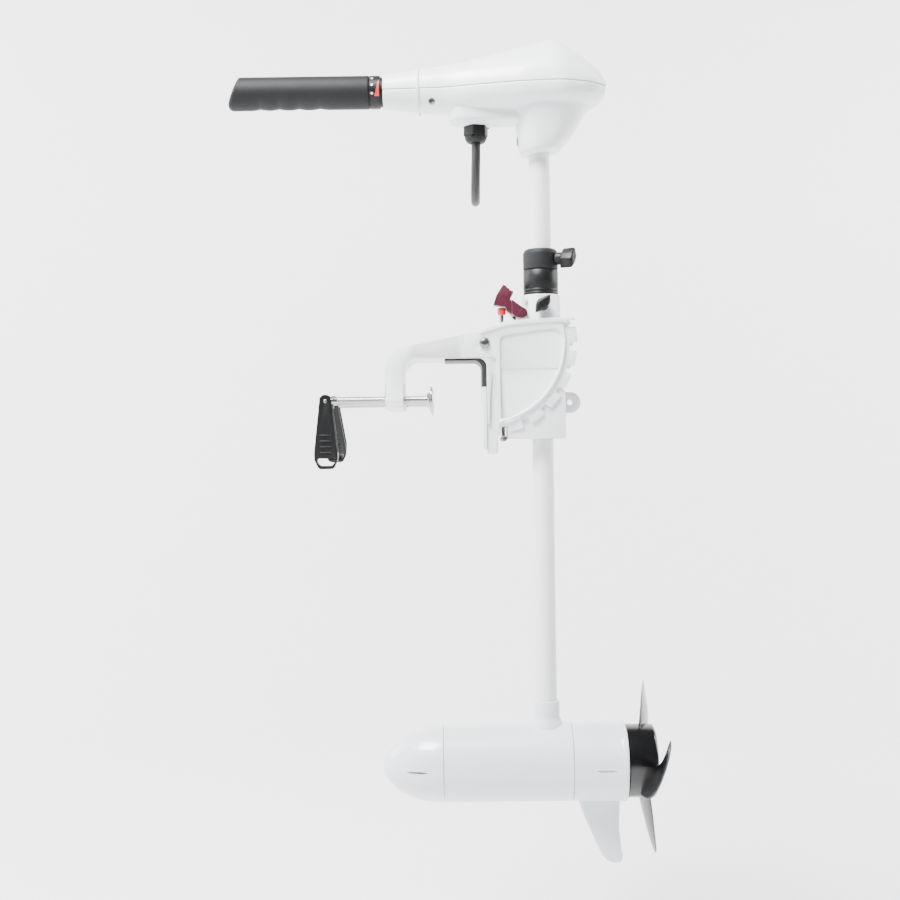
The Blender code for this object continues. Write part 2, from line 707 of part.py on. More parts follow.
def make_motor_parts(group):
    """Seals, magnets, brushes, bearings and through bolts, which stay with the housing."""
    seal_out, seal_in = POD_R - 1.9, POD_R - POD_WALL - 0.1
    front = NOSE_SEAM + 0.8
    back = REAR_SEAM - 0.8
    for end, x in (("front", front), ("rear", back - 1.8)):
        seal = pipe(seal_out, seal_in, (x, 0, POD_Z), (x + 1.8, 0, POD_Z), POD_SIDES)
        piece(f"{end}_housing_seal", group, RUBBER, seal)

    backing = pipe(42.6, 41.7, (-30, 0, POD_Z), (72, 0, POD_Z), ROUND)
    field = piece("field_magnets", group, MAGNET, backing)
    for middle in (90, 270):
        outer = arc((0, POD_Z), 42.4, middle - 62, middle + 62, 8)
        inner = arc((0, POD_Z), 37.6, middle + 62, middle - 62, 8)
        fuse(field, slab(outer + inner, -29, 71, "X"))

    disc = pipe(36.2, 16.5, (-44.6, 0, POD_Z), (-42.0, 0, POD_Z), 24)
    plate = piece("brush_plate", group, CARBON, disc)
    for side in (-1, 1):
        low, high = sorted((side * 13.2, side * 26.0))
        fuse(plate, box((-43.0, low, POD_Z - 4), (-34.0, high, POD_Z + 4)))

    for end, x in (("front", -56.0), ("rear", 104.5)):
        race = pipe(10.1, SPINDLE_R + GAP, (x, 0, POD_Z), (x + 7.0, 0, POD_Z), 24)
        piece(f"{end}_bearing", group, STEEL, race)
    seal = pipe(10.1, SPINDLE_R + GAP, (113.0, 0, POD_Z), (119.0, 0, POD_Z), 24)
    piece("shaft_seal", group, RUBBER, seal)
    for name, side in (("left", -1), ("right", 1)):
        profile = [(0, -45.0), (2.1, -45.0), (2.1, 118.4), (3.3, 118.4), (3.3, 121.4), (0, 121.4)]
        bolt = turned(profile, (0, side * BOLT_Y, POD_Z), (1, 0, 0), 12)
        piece(f"{name}_through_bolt", group, STEEL, bolt)


# ---------------------------------------------------------------- rotor and propeller


def make_rotor(group):
    axis_from, axis_to = (-57.0, 0, POD_Z), (205.0, 0, POD_Z)
    shaft = piece("motor_shaft", group, STEEL, rod(SPINDLE_R, axis_from, axis_to, 20))
    cut(shaft, rod(2.3, (178, -20, POD_Z), (178, 20, POD_Z), 12))
    profile = [(12.8, -41.5), (12.8, -27.0), (28.0, -26.0), (36.8, -22.0), (36.8, 64.0)]
    profile += [(28.0, 68.0), (SPINDLE_R + GAP, 68.0), (SPINDLE_R + GAP, -41.5)]
    wound = turned(profile, (0, 0, POD_Z), (1, 0, 0), ROUND, hollow=True)
    piece("armature", group, COPPER, wound)
    pin = rod(2.0, (178, -10.2, POD_Z), (178, 10.2, POD_Z), 12)
    piece("drive_pin", group, STEEL, pin)
    nut = pipe(9.0, SPINDLE_R + GAP, (198.3, 0, POD_Z), (204.5, 0, POD_Z), 12)
    piece("prop_nut", group, STEEL, nut)


def blade(tip_angle):
    """One swept blade, lofted outwards through sections of a thin lens."""
    sections = []
    inner = HUB_R - 2.5
    for k in range(7):
        out = k / 6
        radius = inner + (PROP_R - inner) * out
        chord = 8 + 42 * math.sin(math.pi * min(1.0, 0.30 + 0.64 * out)) ** 0.8
        chord *= 1.0 if out < 0.99 else 0.55
        pitch = math.radians(22 - 14 * out)
        sweep = math.radians(tip_angle - 46 * (1 - out) ** 1.25)
        rake = 190 + 15 * out
        thick = 2.6 - 1.8 * out
        ring = []
        for i in range(8):
            turn = 2 * math.pi * i / 8
            along = chord / 2 * math.cos(turn)
            lift = thick * math.sin(turn)
            x = rake + along * math.sin(pitch) + lift * math.cos(pitch)
            tangent = along * math.cos(pitch) - lift * math.sin(pitch)
            angle = sweep + tangent / radius
            ring.append((x, radius * math.sin(angle), POD_Z + radius * math.cos(angle)))
        sections.append(ring)
    return loft(sections)


def make_propeller(group):
    profile = [
        (HUB_R, HUB_FRONT),
        (HUB_R, 198.5),
        (HUB_R - 1.4, 201.6),
        (HUB_R - 4.5, HUB_BACK),
        (14.0, HUB_BACK),
        (12.0, 198.0),
        (SPINDLE_R + GAP, 198.0),
        (SPINDLE_R + GAP, 172.0),
        (13.0, 172.0),
        (13.0, 194.0),
        (HUB_R - 3.4, 192.0),
        (HUB_R - 3.4, HUB_FRONT),
    ]
    hub = turned(profile, (0, 0, POD_Z), (1, 0, 0), POD_SIDES, hollow=True)
    screw = piece("propeller", group, GLOSS_BLACK, hub)
    for k in range(BLADES):
        fuse(screw, blade(FIRST_BLADE + k * 360.0 / BLADES))
    cut(screw, rod(2.4, (178, -10.8, POD_Z), (178, 10.8, POD_Z), 12))


# ---------------------------------------------------------------- head

HALF_WIDTH = [(-114, 18.5), (-36, 25), (6, 37), (52, 48), (95, 52), (110, 50), (130, 42)]
HALF_WIDTH += [(145, 31), (153.5, 20)]
HEAD_TOP = [(-114, 395), (-64, 402), (-12, 410), (29, 419.5), (83, 434), (92.6, 435)]
HEAD_TOP += [(101.5, 432), (143, 401), (151, 391), (153.5, 383)]
HEAD_BOTTOM = [(-114, 354.5), (-35, 346.5), (112, 346.5), (131, 349.5), (145, 356.5)]
HEAD_BOTTOM += [(153.5, 366)]
STATIONS = [-114, -90, -64, -36, -12, 6, 29, 52, 75, 92.6, 101.5, 116, 130, 143, 150, 153.5]


def half_ring(x, reach, height, power, steps=8):
    """A superellipse arch over the seam line, from one side to the other."""
    ring = []
    for k in range(steps + 1):
        turn = math.pi * k / steps
        c, s = math.cos(turn), math.sin(turn)
        y = math.copysign(abs(c) ** (2 / power), c) * reach
        ring.append((x, y, SEAM + height * abs(s) ** (2 / power)))
    return ring


def head_shell(edge, power_front, power_back, inset, seam_gap):
    """One half of the head: edge is the height table of its crown or its belly."""
    rings = []
    first, last = STATIONS[0] + inset * 2, STATIONS[-1] - inset
    for x in STATIONS:
        x = min(max(x, first), last)
        if rings and x - rings[-1][0][0] < 0.5:
            continue
        share = (x - STATIONS[0]) / (STATIONS[-1] - STATIONS[0])
        power = power_front + (power_back - power_front) * min(1.0, share * 1.6)
        height = between(edge, x) - SEAM
        height -= math.copysign(inset, height)
        ring = half_ring(x, between(HALF_WIDTH, x) - inset, height, power)
        lift = seam_gap if height > 0 else -seam_gap
        rings.append([(a, b, c + lift) for a, b, c in ring])
    return loft(rings)


def skirt():
    """The socket under the head that takes the shaft."""
    levels = [
        (352, 44.5, 133, 38),
        (334, 45.8, 123.5, 33),
        (301, 49.2, 101.3, 27),
        (296, 52.5, 98.2, 24.5),
        (294.5, 56.0, 95.0, 21),
    ]
    rings = []
    for z, left, right, half in levels:
        middle, reach = (left + right) / 2, (right - left) / 2
        ring = []
        for k in range(20):
            turn = 2 * math.pi * k / 20
            c, s = math.cos(turn), math.sin(turn)
            x = middle + reach * math.copysign(abs(c) ** 0.8, c)
            rise = SKIRT_RISE * (x - left) / (right - left) if z < 302 else 0.0
            ring.append((x, half * math.copysign(abs(s) ** 0.8, s), z + rise))
        rings.append(ring)
    return loft(rings)


def make_head_lower(group):
    cast = piece(
        "head_lower_housing", group, WHITE, head_shell(HEAD_BOTTOM, 2.1, 2.6, 0.0, 0.15)
    )
    fuse(cast, skirt())
    plate = []
    for z, inset in ((334.5, 4.0), (338.0, 0.5), (350.0, 0.0)):
        outline = rounded_box((-35 + inset, -21 + inset), (56, 21 - inset), 9 - inset / 2)
        plate.append([(x, y, z) for x, y in outline])
    fuse(cast, loft(plate))
    fuse(cast, rod(16.5, (GLAND_X, 0, 330.6), (GLAND_X, 0, 345)))
    hollow = head_shell(HEAD_BOTTOM, 2.1, 2.6, HEAD_WALL, -0.2)
    cut(cast, hollow)
    cut(cast, rod(SHAFT_R + 0.25, (SHAFT_X, 0, 280), (SHAFT_X, 0, 372), ROUND))
    cut(cast, rod(9.0, (GLAND_X, 0, 320), (GLAND_X, 0, 365), 20))
    cut(cast, rod(TILLER_R + 0.35, (-130, 0, TILLER_Z), (-100, 0, TILLER_Z)))
    cut(cast, rod(5.6, (30, 0, 313), (51.5, 0, 313), 16))
    cut(cast, rod(3.3, (30, 0, 313), (94, 0, 313), 15))
    for side in (-1, 1):
        cut(cast, rod(4.2, (-55, side * 16.8, SCREW_Z), (-55, side * 40, SCREW_Z), 16))
        cut(cast, rod(2.1, (-55, side * 10, SCREW_Z), (-55, side * 40, SCREW_Z), 12))


def make_head_cover(group):
    cover = piece("head_cover", group, WHITE, head_shell(HEAD_TOP, 2.0, 1.72, 0.0, 0.15))
    cut(cover, head_shell(HEAD_TOP, 2.0, 1.72, HEAD_WALL, -0.2))
    cut(cover, rod(TILLER_R + 0.35, (-130, 0, TILLER_Z), (-100, 0, TILLER_Z)))


def make_head_parts(group):
    for name, side in (("left", -1), ("right", 1)):
        profile = [(0, 0), (3.6, 0), (3.6, 2.2), (1.8, 2.2), (1.8, 7.0), (0, 7.0)]
        screw = turned(profile, (-55, side * 19.3, SCREW_Z), (0, -side, 0), 14)
        piece(f"{name}_cover_screw", group, STEEL, screw)

    profile = [(0, 46.8), (5.0, 46.8), (5.0, 51.2), (3.0, 51.2), (3.0, 93), (0, 93)]
    piece("shaft_clamp_bolt", group, STEEL, turned(profile, (0, 0, 313), (1, 0, 0), 14))

    case = piece("speed_switch", group, BLACK, rod(13.5, (66, 0, TILLER_Z), (96, 0, TILLER_Z), 20))
    fuse(case, box((72, -7, 351.5), (94, 7, 366)))
    cut(case, rod(6.9, (50, 0, TILLER_Z), (120, 0, TILLER_Z), 20))

    top = 330.3
    body_hex = [(8.7, 342), (8.7, top), (14.4, top), (14.4, 319.4), (6.2, 319.4), (6.2, 342)]
    gland = turned(body_hex, (GLAND_X, 0, 0), (0, 0, 1), 12, hollow=True)
    piece("gland_body", group, BLACK, gland)
    dome = [(13.2, 319.0), (12.6, 315.5), (9.4, 311.2), (5.9, 311.2), (5.9, 319.0)]
    nut = turned(dome, (GLAND_X, 0, 0), (0, 0, 1), 18, hollow=True)
    piece("gland_nut", group, BLACK, nut)


# ---------------------------------------------------------------- tiller


def make_tiller(group):
    tube = pipe(TILLER_R, 9.4, (-283, 0, TILLER_Z), (60, 0, TILLER_Z))
    piece("tiller_tube", group, ALUMINIUM, tube)
    back = HEAD_FRONT - GAP
    profile = [(19.6, GRIP_END + GAP), (19.6, RING_END), (17.6, RING_END), (17.6, back)]
    profile += [(TILLER_R + GAP, back), (TILLER_R + GAP, GRIP_END + GAP)]
    ring = turned(profile, (0, 0, TILLER_Z), (1, 0, 0), ROUND, hollow=True)
    piece("speed_ring", group, BLACK, ring)


def make_spindle(group):
    spindle = pipe(6.3, 4.7, (-104, 0, TILLER_Z), (98, 0, TILLER_Z), NUT_SIDES)
    piece("switch_spindle", group, BRASS, spindle)


def make_grip(group):
    """The twist grip: a slanted outer end and four finger hollows along the underside."""
    end_rings = [GRIP_TIP, -299, -294, -288, GRIP_SLANT_END]
    swells = sorted([*FINGER_RIDGES, *FINGER_HOLLOWS])
    rings = []
    for x in [*end_rings, *swells, -139, GRIP_END]:
        ring = []
        for i in range(20):
            turn = 2 * math.pi * i / 20
            up = math.sin(turn)
            hollow = FINGER_DEEP if x in FINGER_HOLLOWS and up < -0.6 else 0.0
            r = GRIP_R - hollow
            shift = 0.0
            if x <= GRIP_SLANT_END:
                share = (x - GRIP_TIP) / (GRIP_SLANT_END - GRIP_TIP)
                r = GRIP_R * (0.90 + 0.10 * share)
                shift = GRIP_SLANT * (1 - share) * (1 + up) / 2
            ring.append((x + shift, r * math.cos(turn), TILLER_Z + r * up))
        rings.append(ring)
    grip = piece("throttle_grip", group, GRIP_BLACK, loft(rings))
    bore_end = (GRIP_END + 10, 0, TILLER_Z)
    cut(grip, rod(TILLER_R + 0.35, (-283.4, 0, TILLER_Z), bore_end))
    hexagon = rod(4.1, (-283.0, 0, TILLER_Z), (54, 0, TILLER_Z), 6)
    piece("throttle_rod", group, STEEL, hexagon)


# ---------------------------------------------------------------- power cable

CABLE_ROUTE = [
    (-2.5, 0, 310.9),
    (-2.6, 0, 304),
    (-2.8, 0.4, 294),
    (-3.2, 3.6, 277),
    (-3.5, 11.5, 262),
    (-3.5, 24, 252.5),
    (-3.2, 38, 249.0),
    (-2.8, 53, 250.5),
    (-2.2, 68, 257.0),
    (-1.6, 80.5, 268.0),
    (-1.2, 90, 281.5),
    (-1.0, 97, 297.0),
    (-0.8, 102.5, 313.0),
    (-0.4, 107, 328.0),
    (1.2, 110.5, 342.0),
    (8.0, 113.6, 355.5),
    (17.5, 115.8, 364.9),
    (22.5, 116.8, 368.6),
]


def smooth_route(route, spacing):
    """Points at an even spacing on a Catmull-Rom curve through the route."""
    knots = [Vector(p) for p in route]
    knots = [knots[0] * 2 - knots[1], *knots, knots[-1] * 2 - knots[-2]]
    fine = []
    for a, b, c, d in zip(knots, knots[1:], knots[2:], knots[3:]):
        for k in range(24):
            t = k / 24
            fine.append(
                0.5
                * (
                    2 * b
                    + (c - a) * t
                    + (2 * a - 5 * b + 4 * c - d) * t * t
                    + (3 * b - a - 3 * c + d) * t**3
                )
            )
    fine.append(knots[-2])
    total = sum((q - p).length for p, q in zip(fine, fine[1:]))
    count = round(total / spacing)
    wanted = [total * k / count for k in range(count)]
    points, walked, index = [], 0.0, 0
    for mark in wanted:
        while walked + (fine[index + 1] - fine[index]).length < mark:
            walked += (fine[index + 1] - fine[index]).length
            index += 1
        step = fine[index + 1] - fine[index]
        points.append(fine[index] + step * ((mark - walked) / step.length))
    return [*points, fine[-1]]


def make_cable(group):
    curve = bpy.data.curves.new("power_cable", "CURVE")
    curve.dimensions = "3D"
    curve.bevel_depth = CABLE_R * MM
    curve.bevel_resolution = 2
    curve.use_fill_caps = True
    points = smooth_route(CABLE_ROUTE, 13.0)
    line = curve.splines.new("POLY")
    line.points.add(len(points) - 1)
    for knot, point in zip(line.points, points):
        knot.co = (*(point * MM), 1.0)
    cable = bpy.data.objects.new("power_cable", curve)
    bpy.context.collection.objects.link(cable)
    cable.parent = group
    cable.location = -group.matrix_world.translation
    curve.materials.append(RUBBER)


def hank_place():
    return Matrix.Translation(HANK_AT) @ Matrix.Rotation(math.radians(HANK_YAW), 4, "Z")


def hull(points):
    """The convex outline round a set of 2-D points."""
    ordered = sorted(set(points))

    def half(row):
        edge = []
        for p in row:
            while len(edge) > 1 and (
                (edge[-1][0] - edge[-2][0]) * (p[1] - edge[-2][1])
                <= (edge[-1][1] - edge[-2][1]) * (p[0] - edge[-2][0])
            ):
                edge.pop()
            edge.append(p)
        return edge[:-1]

    return half(ordered) + half(ordered[::-1])


def tie_outline(x, offset):
    """The outline of a strap drawn tight round the neck and the hank at one station."""
    reach = between(HALF_WIDTH, x)
    top, bottom = between(HEAD_TOP, x), between(HEAD_BOTTOM, x)
    crown = half_ring(x, reach + offset, top - SEAM + offset, 2.0)
    belly = half_ring(x, reach + offset, bottom - SEAM - offset, 2.5)
    neck = [(y, z) for _, y, z in crown + belly]
    centre = HANK_AT[1] + (x - HANK_AT[0]) * math.tan(math.radians(HANK_YAW))
    wide = (FOLD_R + CABLE_R) * 1.03 + offset
    half = HANK_TALL / 2 + offset
    low, high = (centre - wide, HANK_AT[2] - half), (centre + wide, HANK_AT[2] + half)
    corners = rounded_box(low, high, 2.0)
    return hull(neck + corners)


def make_hank(group):
    half_width = FOLD_R + CABLE_R
    tail = PLUG_START - GAP
    leaving = [(tail, FOLD_R - 6.5), (tail, FOLD_R + CABLE_R)]
    outline = hull(stadium(HANK_HALF + CABLE_R, half_width) + leaving)
    flat = slab(outline, -HANK_TALL / 2, HANK_TALL / 2, "Z")
    piece("cable_hank", group, RUBBER, moved(flat, hank_place()))

    low, high = TIE_X - 1.6, TIE_X + 1.6
    band = piece("hank_tie", group, NYLON, slab(tie_outline(TIE_X, 1.6), low, high, "X"))
    cut(band, slab(tie_outline(TIE_X, 0.6), low - 3, high + 3, "X"))


def make_plug(group):
    """The two-pole battery connector at the cable's end."""
    lane, start = FOLD_R, PLUG_START
    rings = []
    for along, wide, tall in (
        (start, 6.5, 6.5),
        (start + 10, 8.5, 7.5),
        (start + 13, 16.0, 8.0),
        (start + 48, 16.0, 8.0),
    ):
        neck = rounded_box((-wide, -tall), (wide, tall), 2.0, 2)
        rings.append([(along, lane + a, b + 2 * CABLE_R) for a, b in neck])
    block = moved(loft(rings), hank_place())
    plug = piece("battery_plug", group, BLACK, block)
    for side in (-1, 1):
        low = (start + 36, lane + side * 7.5 - 5.0, 2 * CABLE_R - 4.5)
        high = (start + 60, lane + side * 7.5 + 5.0, 2 * CABLE_R + 4.5)
        cut(plug, moved(box(low, high), hank_place()))


# ---------------------------------------------------------------- assembly

clear_scene()

WHITE = material("cool_white", (0.86, 0.88, 0.90), 0.38)
SHAFT_WHITE = material("shaft_white", (0.80, 0.82, 0.80), 0.42)
POD_PAINT = material("pod_paint", (0.78, 0.82, 0.86), 0.35)
BLACK = material("black_plastic", (0.02, 0.02, 0.022), 0.45)
GLOSS_BLACK = material("propeller_black", (0.01, 0.01, 0.012), 0.18)
GRIP_BLACK = material("grip_rubber", (0.035, 0.038, 0.042), 0.7)
RUBBER = material("cable_rubber", (0.015, 0.015, 0.015), 0.65)
MAROON = material("lever_maroon", (0.22, 0.02, 0.04), 0.4)
RED = material("bushing_red", (0.7, 0.03, 0.03), 0.4)
CHROME = material("zinc_plate", (0.72, 0.71, 0.68), 0.25, 1.0)
STEEL = material("steel", (0.55, 0.55, 0.55), 0.35, 1.0)
ALUMINIUM = material("tube_aluminium", (0.75, 0.76, 0.77), 0.35, 1.0)
BRASS = material("brass", (0.72, 0.53, 0.24), 0.35, 1.0)
COPPER = material("copper", (0.75, 0.38, 0.22), 0.35, 1.0)
MAGNET = material("magnet_ferrite", (0.08, 0.08, 0.085), 0.6)
CARBON = material("brush_carbon", (0.05, 0.05, 0.05), 0.7)
NYLON = material("tie_nylon", (0.85, 0.86, 0.86), 0.5)

bracket = body("bracket")
make_bracket(bracket)
make_jaw(bracket)
make_pivot(bracket)

for clamp, sign, twist in (("left", -1, 0.0), ("right", 1, HANDLE_TURN)):
    line = (HANDLE_X, sign * SCREW_Y, 0)
    pad_group = body(f"{clamp}_pad", line, bracket)
    screw_group = body(f"{clamp}_screw", line, pad_group)
    handle_group = body(f"{clamp}_handle", line, screw_group)
    make_clamp(clamp, sign, twist, pad_group, screw_group, handle_group)

column = body("column", (PIVOT_X, 0, PIVOT_Z), bracket)
make_column(column)
make_bushings(column)
make_lever_pin(column)
make_lock_spring(column)

lock = body("lock", (ROD_X, 0, 0), column)
make_lock_rod(lock)
lever = body("lever", (LEVER_X, 0, LEVER_Z), column)
make_lever(lever)

steering_knob = body("steering_knob_axis", (SHAFT_X, 0, KNOB_Z), column)
seat = (SHAFT_X, -COLLAR_R, KNOB_Z)
wing_knob("steering_knob", steering_knob, seat, (0, -1, 0), 7.4, 7.5, 17.5, 40)

collar = body("collar", (SHAFT_X, 0, 0), column)
make_depth_collar(collar)
depth_knob = body("depth_knob_axis", (SHAFT_X, 0, DEPTH_KNOB_Z), collar)
direction = Matrix.Rotation(math.radians(DEPTH_KNOB_TURN), 3, "Z") @ Vector((1, 0, 0))
seat = Vector((SHAFT_X, 0, DEPTH_KNOB_Z)) + direction * (SLEEVE_R + 0.2)
wing_knob("depth_knob", depth_knob, seat, direction, 7.6, 9.0, 25.0, 60)

shaft = body("shaft", (SHAFT_X, 0, 0), collar)
make_shaft(shaft)
make_wires(shaft)
make_motor_housing(shaft)
make_nose(shaft)
make_rear_housing(shaft)
make_motor_parts(shaft)
make_head_lower(shaft)
make_head_cover(shaft)
make_head_parts(shaft)
make_cable(shaft)
make_hank(shaft)
make_plug(shaft)

rotor = body("rotor", (0, 0, POD_Z), shaft)
make_rotor(rotor)
make_propeller(rotor)

tiller = body("tiller", (0, 0, TILLER_Z), shaft)
make_tiller(tiller)
spindle_group = body("spindle", (0, 0, TILLER_Z), shaft)
make_spindle(spindle_group)
grip_group = body("grip", (0, 0, TILLER_Z), tiller)
make_grip(grip_group)
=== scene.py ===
"""The looks of a transom-mount trolling motor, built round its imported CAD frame.

Shapes are given in millimetres in the row frame, and scaled by MM when a mesh is made.
The camera, the lights and the cord's route are in metres.
"""

import json
import math

import bmesh
import bpy
from mathutils import Matrix, Vector

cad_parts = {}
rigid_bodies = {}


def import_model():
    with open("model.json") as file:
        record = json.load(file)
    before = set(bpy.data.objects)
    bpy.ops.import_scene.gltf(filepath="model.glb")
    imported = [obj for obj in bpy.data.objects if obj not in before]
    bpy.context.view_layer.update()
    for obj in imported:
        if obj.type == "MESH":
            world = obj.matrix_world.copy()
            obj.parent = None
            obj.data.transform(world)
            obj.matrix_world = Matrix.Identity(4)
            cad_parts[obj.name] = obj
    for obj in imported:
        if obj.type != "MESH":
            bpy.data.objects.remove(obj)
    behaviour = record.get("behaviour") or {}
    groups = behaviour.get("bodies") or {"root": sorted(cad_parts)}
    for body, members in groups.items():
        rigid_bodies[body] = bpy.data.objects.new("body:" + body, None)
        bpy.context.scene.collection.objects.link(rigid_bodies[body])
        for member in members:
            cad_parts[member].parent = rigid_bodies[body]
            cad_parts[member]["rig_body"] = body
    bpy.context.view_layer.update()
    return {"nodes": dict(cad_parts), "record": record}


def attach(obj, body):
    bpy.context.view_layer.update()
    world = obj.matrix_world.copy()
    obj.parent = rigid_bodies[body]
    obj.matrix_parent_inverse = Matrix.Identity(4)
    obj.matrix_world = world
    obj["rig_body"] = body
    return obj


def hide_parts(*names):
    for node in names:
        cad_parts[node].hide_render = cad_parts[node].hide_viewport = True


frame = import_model()

MM = 0.001
FINE = 64
ROUND = 96
SIDES = (-1, 1)

# ---------------------------------------------------------------- camera

CAMERA_AT = (-0.039, -1.573, -0.059)
CAMERA_LENS = 52.0
CAMERA_ROLL = -0.8


def make_camera():
    camera = bpy.data.objects.new("camera", bpy.data.cameras.new("camera"))
    camera.data.lens = CAMERA_LENS
    camera.data.sensor_width = 36.0
    camera.data.clip_end = 50.0
    look_aft = Matrix.Rotation(math.radians(90), 4, "X")
    roll = Matrix.Rotation(math.radians(CAMERA_ROLL), 4, "Z")
    camera.matrix_world = Matrix.Translation(CAMERA_AT) @ look_aft @ roll
    bpy.context.scene.collection.objects.link(camera)
    bpy.context.scene.camera = camera


make_camera()

# ---------------------------------------------------------------- materials

DRIFT_SCALE, GLOSS_SCALE, FLECK_SCALE = 16.0, 60.0, 420.0


def finish(name, colour, rough, metal=0.0, grain=900.0, bump=0.15, vary=0.03, **extra):
    """A procedural finish: slow drift in colour, uneven gloss and a fine moulded or cast grain.

    stretch draws the grain out along one axis, speck strews darker or lighter flecks.
    """
    stretch = extra.get("stretch", (1, 1, 1))
    made = bpy.data.materials.new(name)
    made.use_nodes = True
    tree = made.node_tree
    shader = tree.nodes["Principled BSDF"]
    shader.inputs["Metallic"].default_value = metal
    shader.inputs["Coat Weight"].default_value = extra.get("coat", 0.0)
    shader.inputs["Coat Roughness"].default_value = 0.12
    shader.inputs["Specular IOR Level"].default_value = extra.get("specular", 0.5)
    link = tree.links.new

    def node(kind, **values):
        new = tree.nodes.new(kind)
        for key, value in values.items():
            new.inputs[key].default_value = value
        return new

    def noise(scale, detail, source):
        new = node("ShaderNodeTexNoise", Scale=scale, Detail=detail)
        link(source.outputs[-1 if source.type == "MAPPING" else "Object"], new.inputs["Vector"])
        return new

    where = node("ShaderNodeTexCoord")
    drawn = node("ShaderNodeMapping", Scale=stretch)
    link(where.outputs["Object"], drawn.inputs["Vector"])

    drift = noise(DRIFT_SCALE, 3.0, where)
    tint = tree.nodes.new("ShaderNodeValToRGB")
    tint.color_ramp.elements[0].position = 0.32
    tint.color_ramp.elements[1].position = 0.68
    tint.color_ramp.elements[0].color = (*(c * (1 - vary) for c in colour), 1)
    tint.color_ramp.elements[1].color = (*(min(1.0, c * (1 + vary)) for c in colour), 1)
    link(drift.outputs["Fac"], tint.inputs["Fac"])

    flecks = noise(FLECK_SCALE, 2.0, drawn)
    keep = node("ShaderNodeMapRange")
    keep.inputs["From Min"].default_value = 0.62
    keep.inputs["From Max"].default_value = 0.78
    keep.inputs["To Max"].default_value = extra.get("speck", 0.25)
    link(flecks.outputs["Fac"], keep.inputs["Value"])
    mixed = node("ShaderNodeMix")
    mixed.data_type = "RGBA"
    mixed.inputs["B"].default_value = (*extra.get("speck_colour", colour), 1)
    link(keep.outputs["Result"], mixed.inputs["Factor"])
    link(tint.outputs["Color"], mixed.inputs["A"])
    link(mixed.outputs["Result"], shader.inputs["Base Color"])

    uneven = noise(GLOSS_SCALE, 4.0, drawn)
    gloss = node("ShaderNodeMapRange")
    gloss.inputs["To Min"].default_value = max(0.03, rough - extra.get("patch", 0.06))
    gloss.inputs["To Max"].default_value = rough + extra.get("patch", 0.06)
    link(uneven.outputs["Fac"], gloss.inputs["Value"])
    link(gloss.outputs["Result"], shader.inputs["Roughness"])

    fine = noise(grain, 4.0, drawn)
    relief = node("ShaderNodeBump", Strength=bump, Distance=0.0003)
    link(fine.outputs["Fac"], relief.inputs["Height"])
    link(relief.outputs["Normal"], shader.inputs["Normal"])
    return made


FINISHES = {
    "cool_white": finish("cool_white", (0.80, 0.82, 0.835), 0.36, grain=1400, bump=0.10, vary=0.015,
                         speck=0.05, speck_colour=(0.70, 0.71, 0.72), coat=0.15),
    "shaft_white": finish("shaft_white", (0.72, 0.745, 0.725), 0.40, grain=900, bump=0.12, vary=0.03,
                          stretch=(1, 1, 0.12), speck=0.10, speck_colour=(0.62, 0.64, 0.62)),
    "pod_paint": finish("pod_paint", (0.60, 0.645, 0.68), 0.33, grain=380, bump=0.10, vary=0.02,
                        speck=0.06, speck_colour=(0.52, 0.55, 0.58), coat=0.35),
    "black_plastic": finish("black_plastic", (0.005, 0.0053, 0.0056), 0.42, grain=1500, bump=0.30,
                            vary=0.15, speck=0.35, speck_colour=(0.022, 0.022, 0.023), specular=0.25),
    "propeller_black": finish("propeller_black", (0.0015, 0.0015, 0.002), 0.22, grain=500, bump=0.05,
                              vary=0.10, patch=0.07, coat=0.1, speck=0.2, speck_colour=(0.01, 0.01, 0.011)),
    "grip_rubber": finish("grip_rubber", (0.008, 0.009, 0.0105), 0.60, grain=1700, bump=0.55, vary=0.10,
                          speck=0.40, speck_colour=(0.018, 0.020, 0.021), specular=0.25),
    "cable_rubber": finish("cable_rubber", (0.012, 0.012, 0.013), 0.50, grain=1300, bump=0.30, vary=0.15,
                           speck=0.30, speck_colour=(0.035, 0.035, 0.035)),
    "lever_maroon": finish("lever_maroon", (0.062, 0.009, 0.020), 0.34, grain=1400, bump=0.12, vary=0.10,
                           speck=0.15, speck_colour=(0.11, 0.025, 0.04), coat=0.1, specular=0.3),
    "bushing_red": finish("bushing_red", (0.60, 0.022, 0.018), 0.32, grain=1400, bump=0.10, vary=0.08,
                          speck=0.10, speck_colour=(0.75, 0.06, 0.04), coat=0.2),
    "zinc_plate": finish("zinc_plate", (0.42, 0.42, 0.40), 0.20, 1.0, grain=900, bump=0.12, vary=0.06,
                         patch=0.09, speck=0.35, speck_colour=(0.30, 0.30, 0.285)),
    "steel": finish("steel", (0.26, 0.26, 0.26), 0.30, 1.0, grain=1200, bump=0.15, vary=0.06,
                    patch=0.08, speck=0.30, speck_colour=(0.18, 0.18, 0.18)),
    "tube_aluminium": finish("tube_aluminium", (0.70, 0.71, 0.72), 0.30, 1.0, grain=1400, bump=0.15,
                             stretch=(0.05, 1, 1), patch=0.08),
    "brass": finish("brass", (0.66, 0.47, 0.20), 0.30, 1.0, grain=1200, bump=0.12, stretch=(0.08, 1, 1)),
    "copper": finish("copper", (0.62, 0.27, 0.13), 0.32, 1.0, grain=700, bump=0.5, vary=0.12,
                     stretch=(0.1, 1, 1)),
    "magnet_ferrite": finish("magnet_ferrite", (0.07, 0.07, 0.075), 0.6, grain=700, bump=0.4, vary=0.15),
    "brush_carbon": finish("brush_carbon", (0.045, 0.045, 0.045), 0.7, grain=1100, bump=0.5, vary=0.2),
    "tie_nylon": finish("tie_nylon", (0.78, 0.79, 0.79), 0.40, grain=900, bump=0.15, vary=0.02),
    "mark_white": finish("mark_white", (0.80, 0.80, 0.78), 0.45, grain=900, bump=0.1),
}

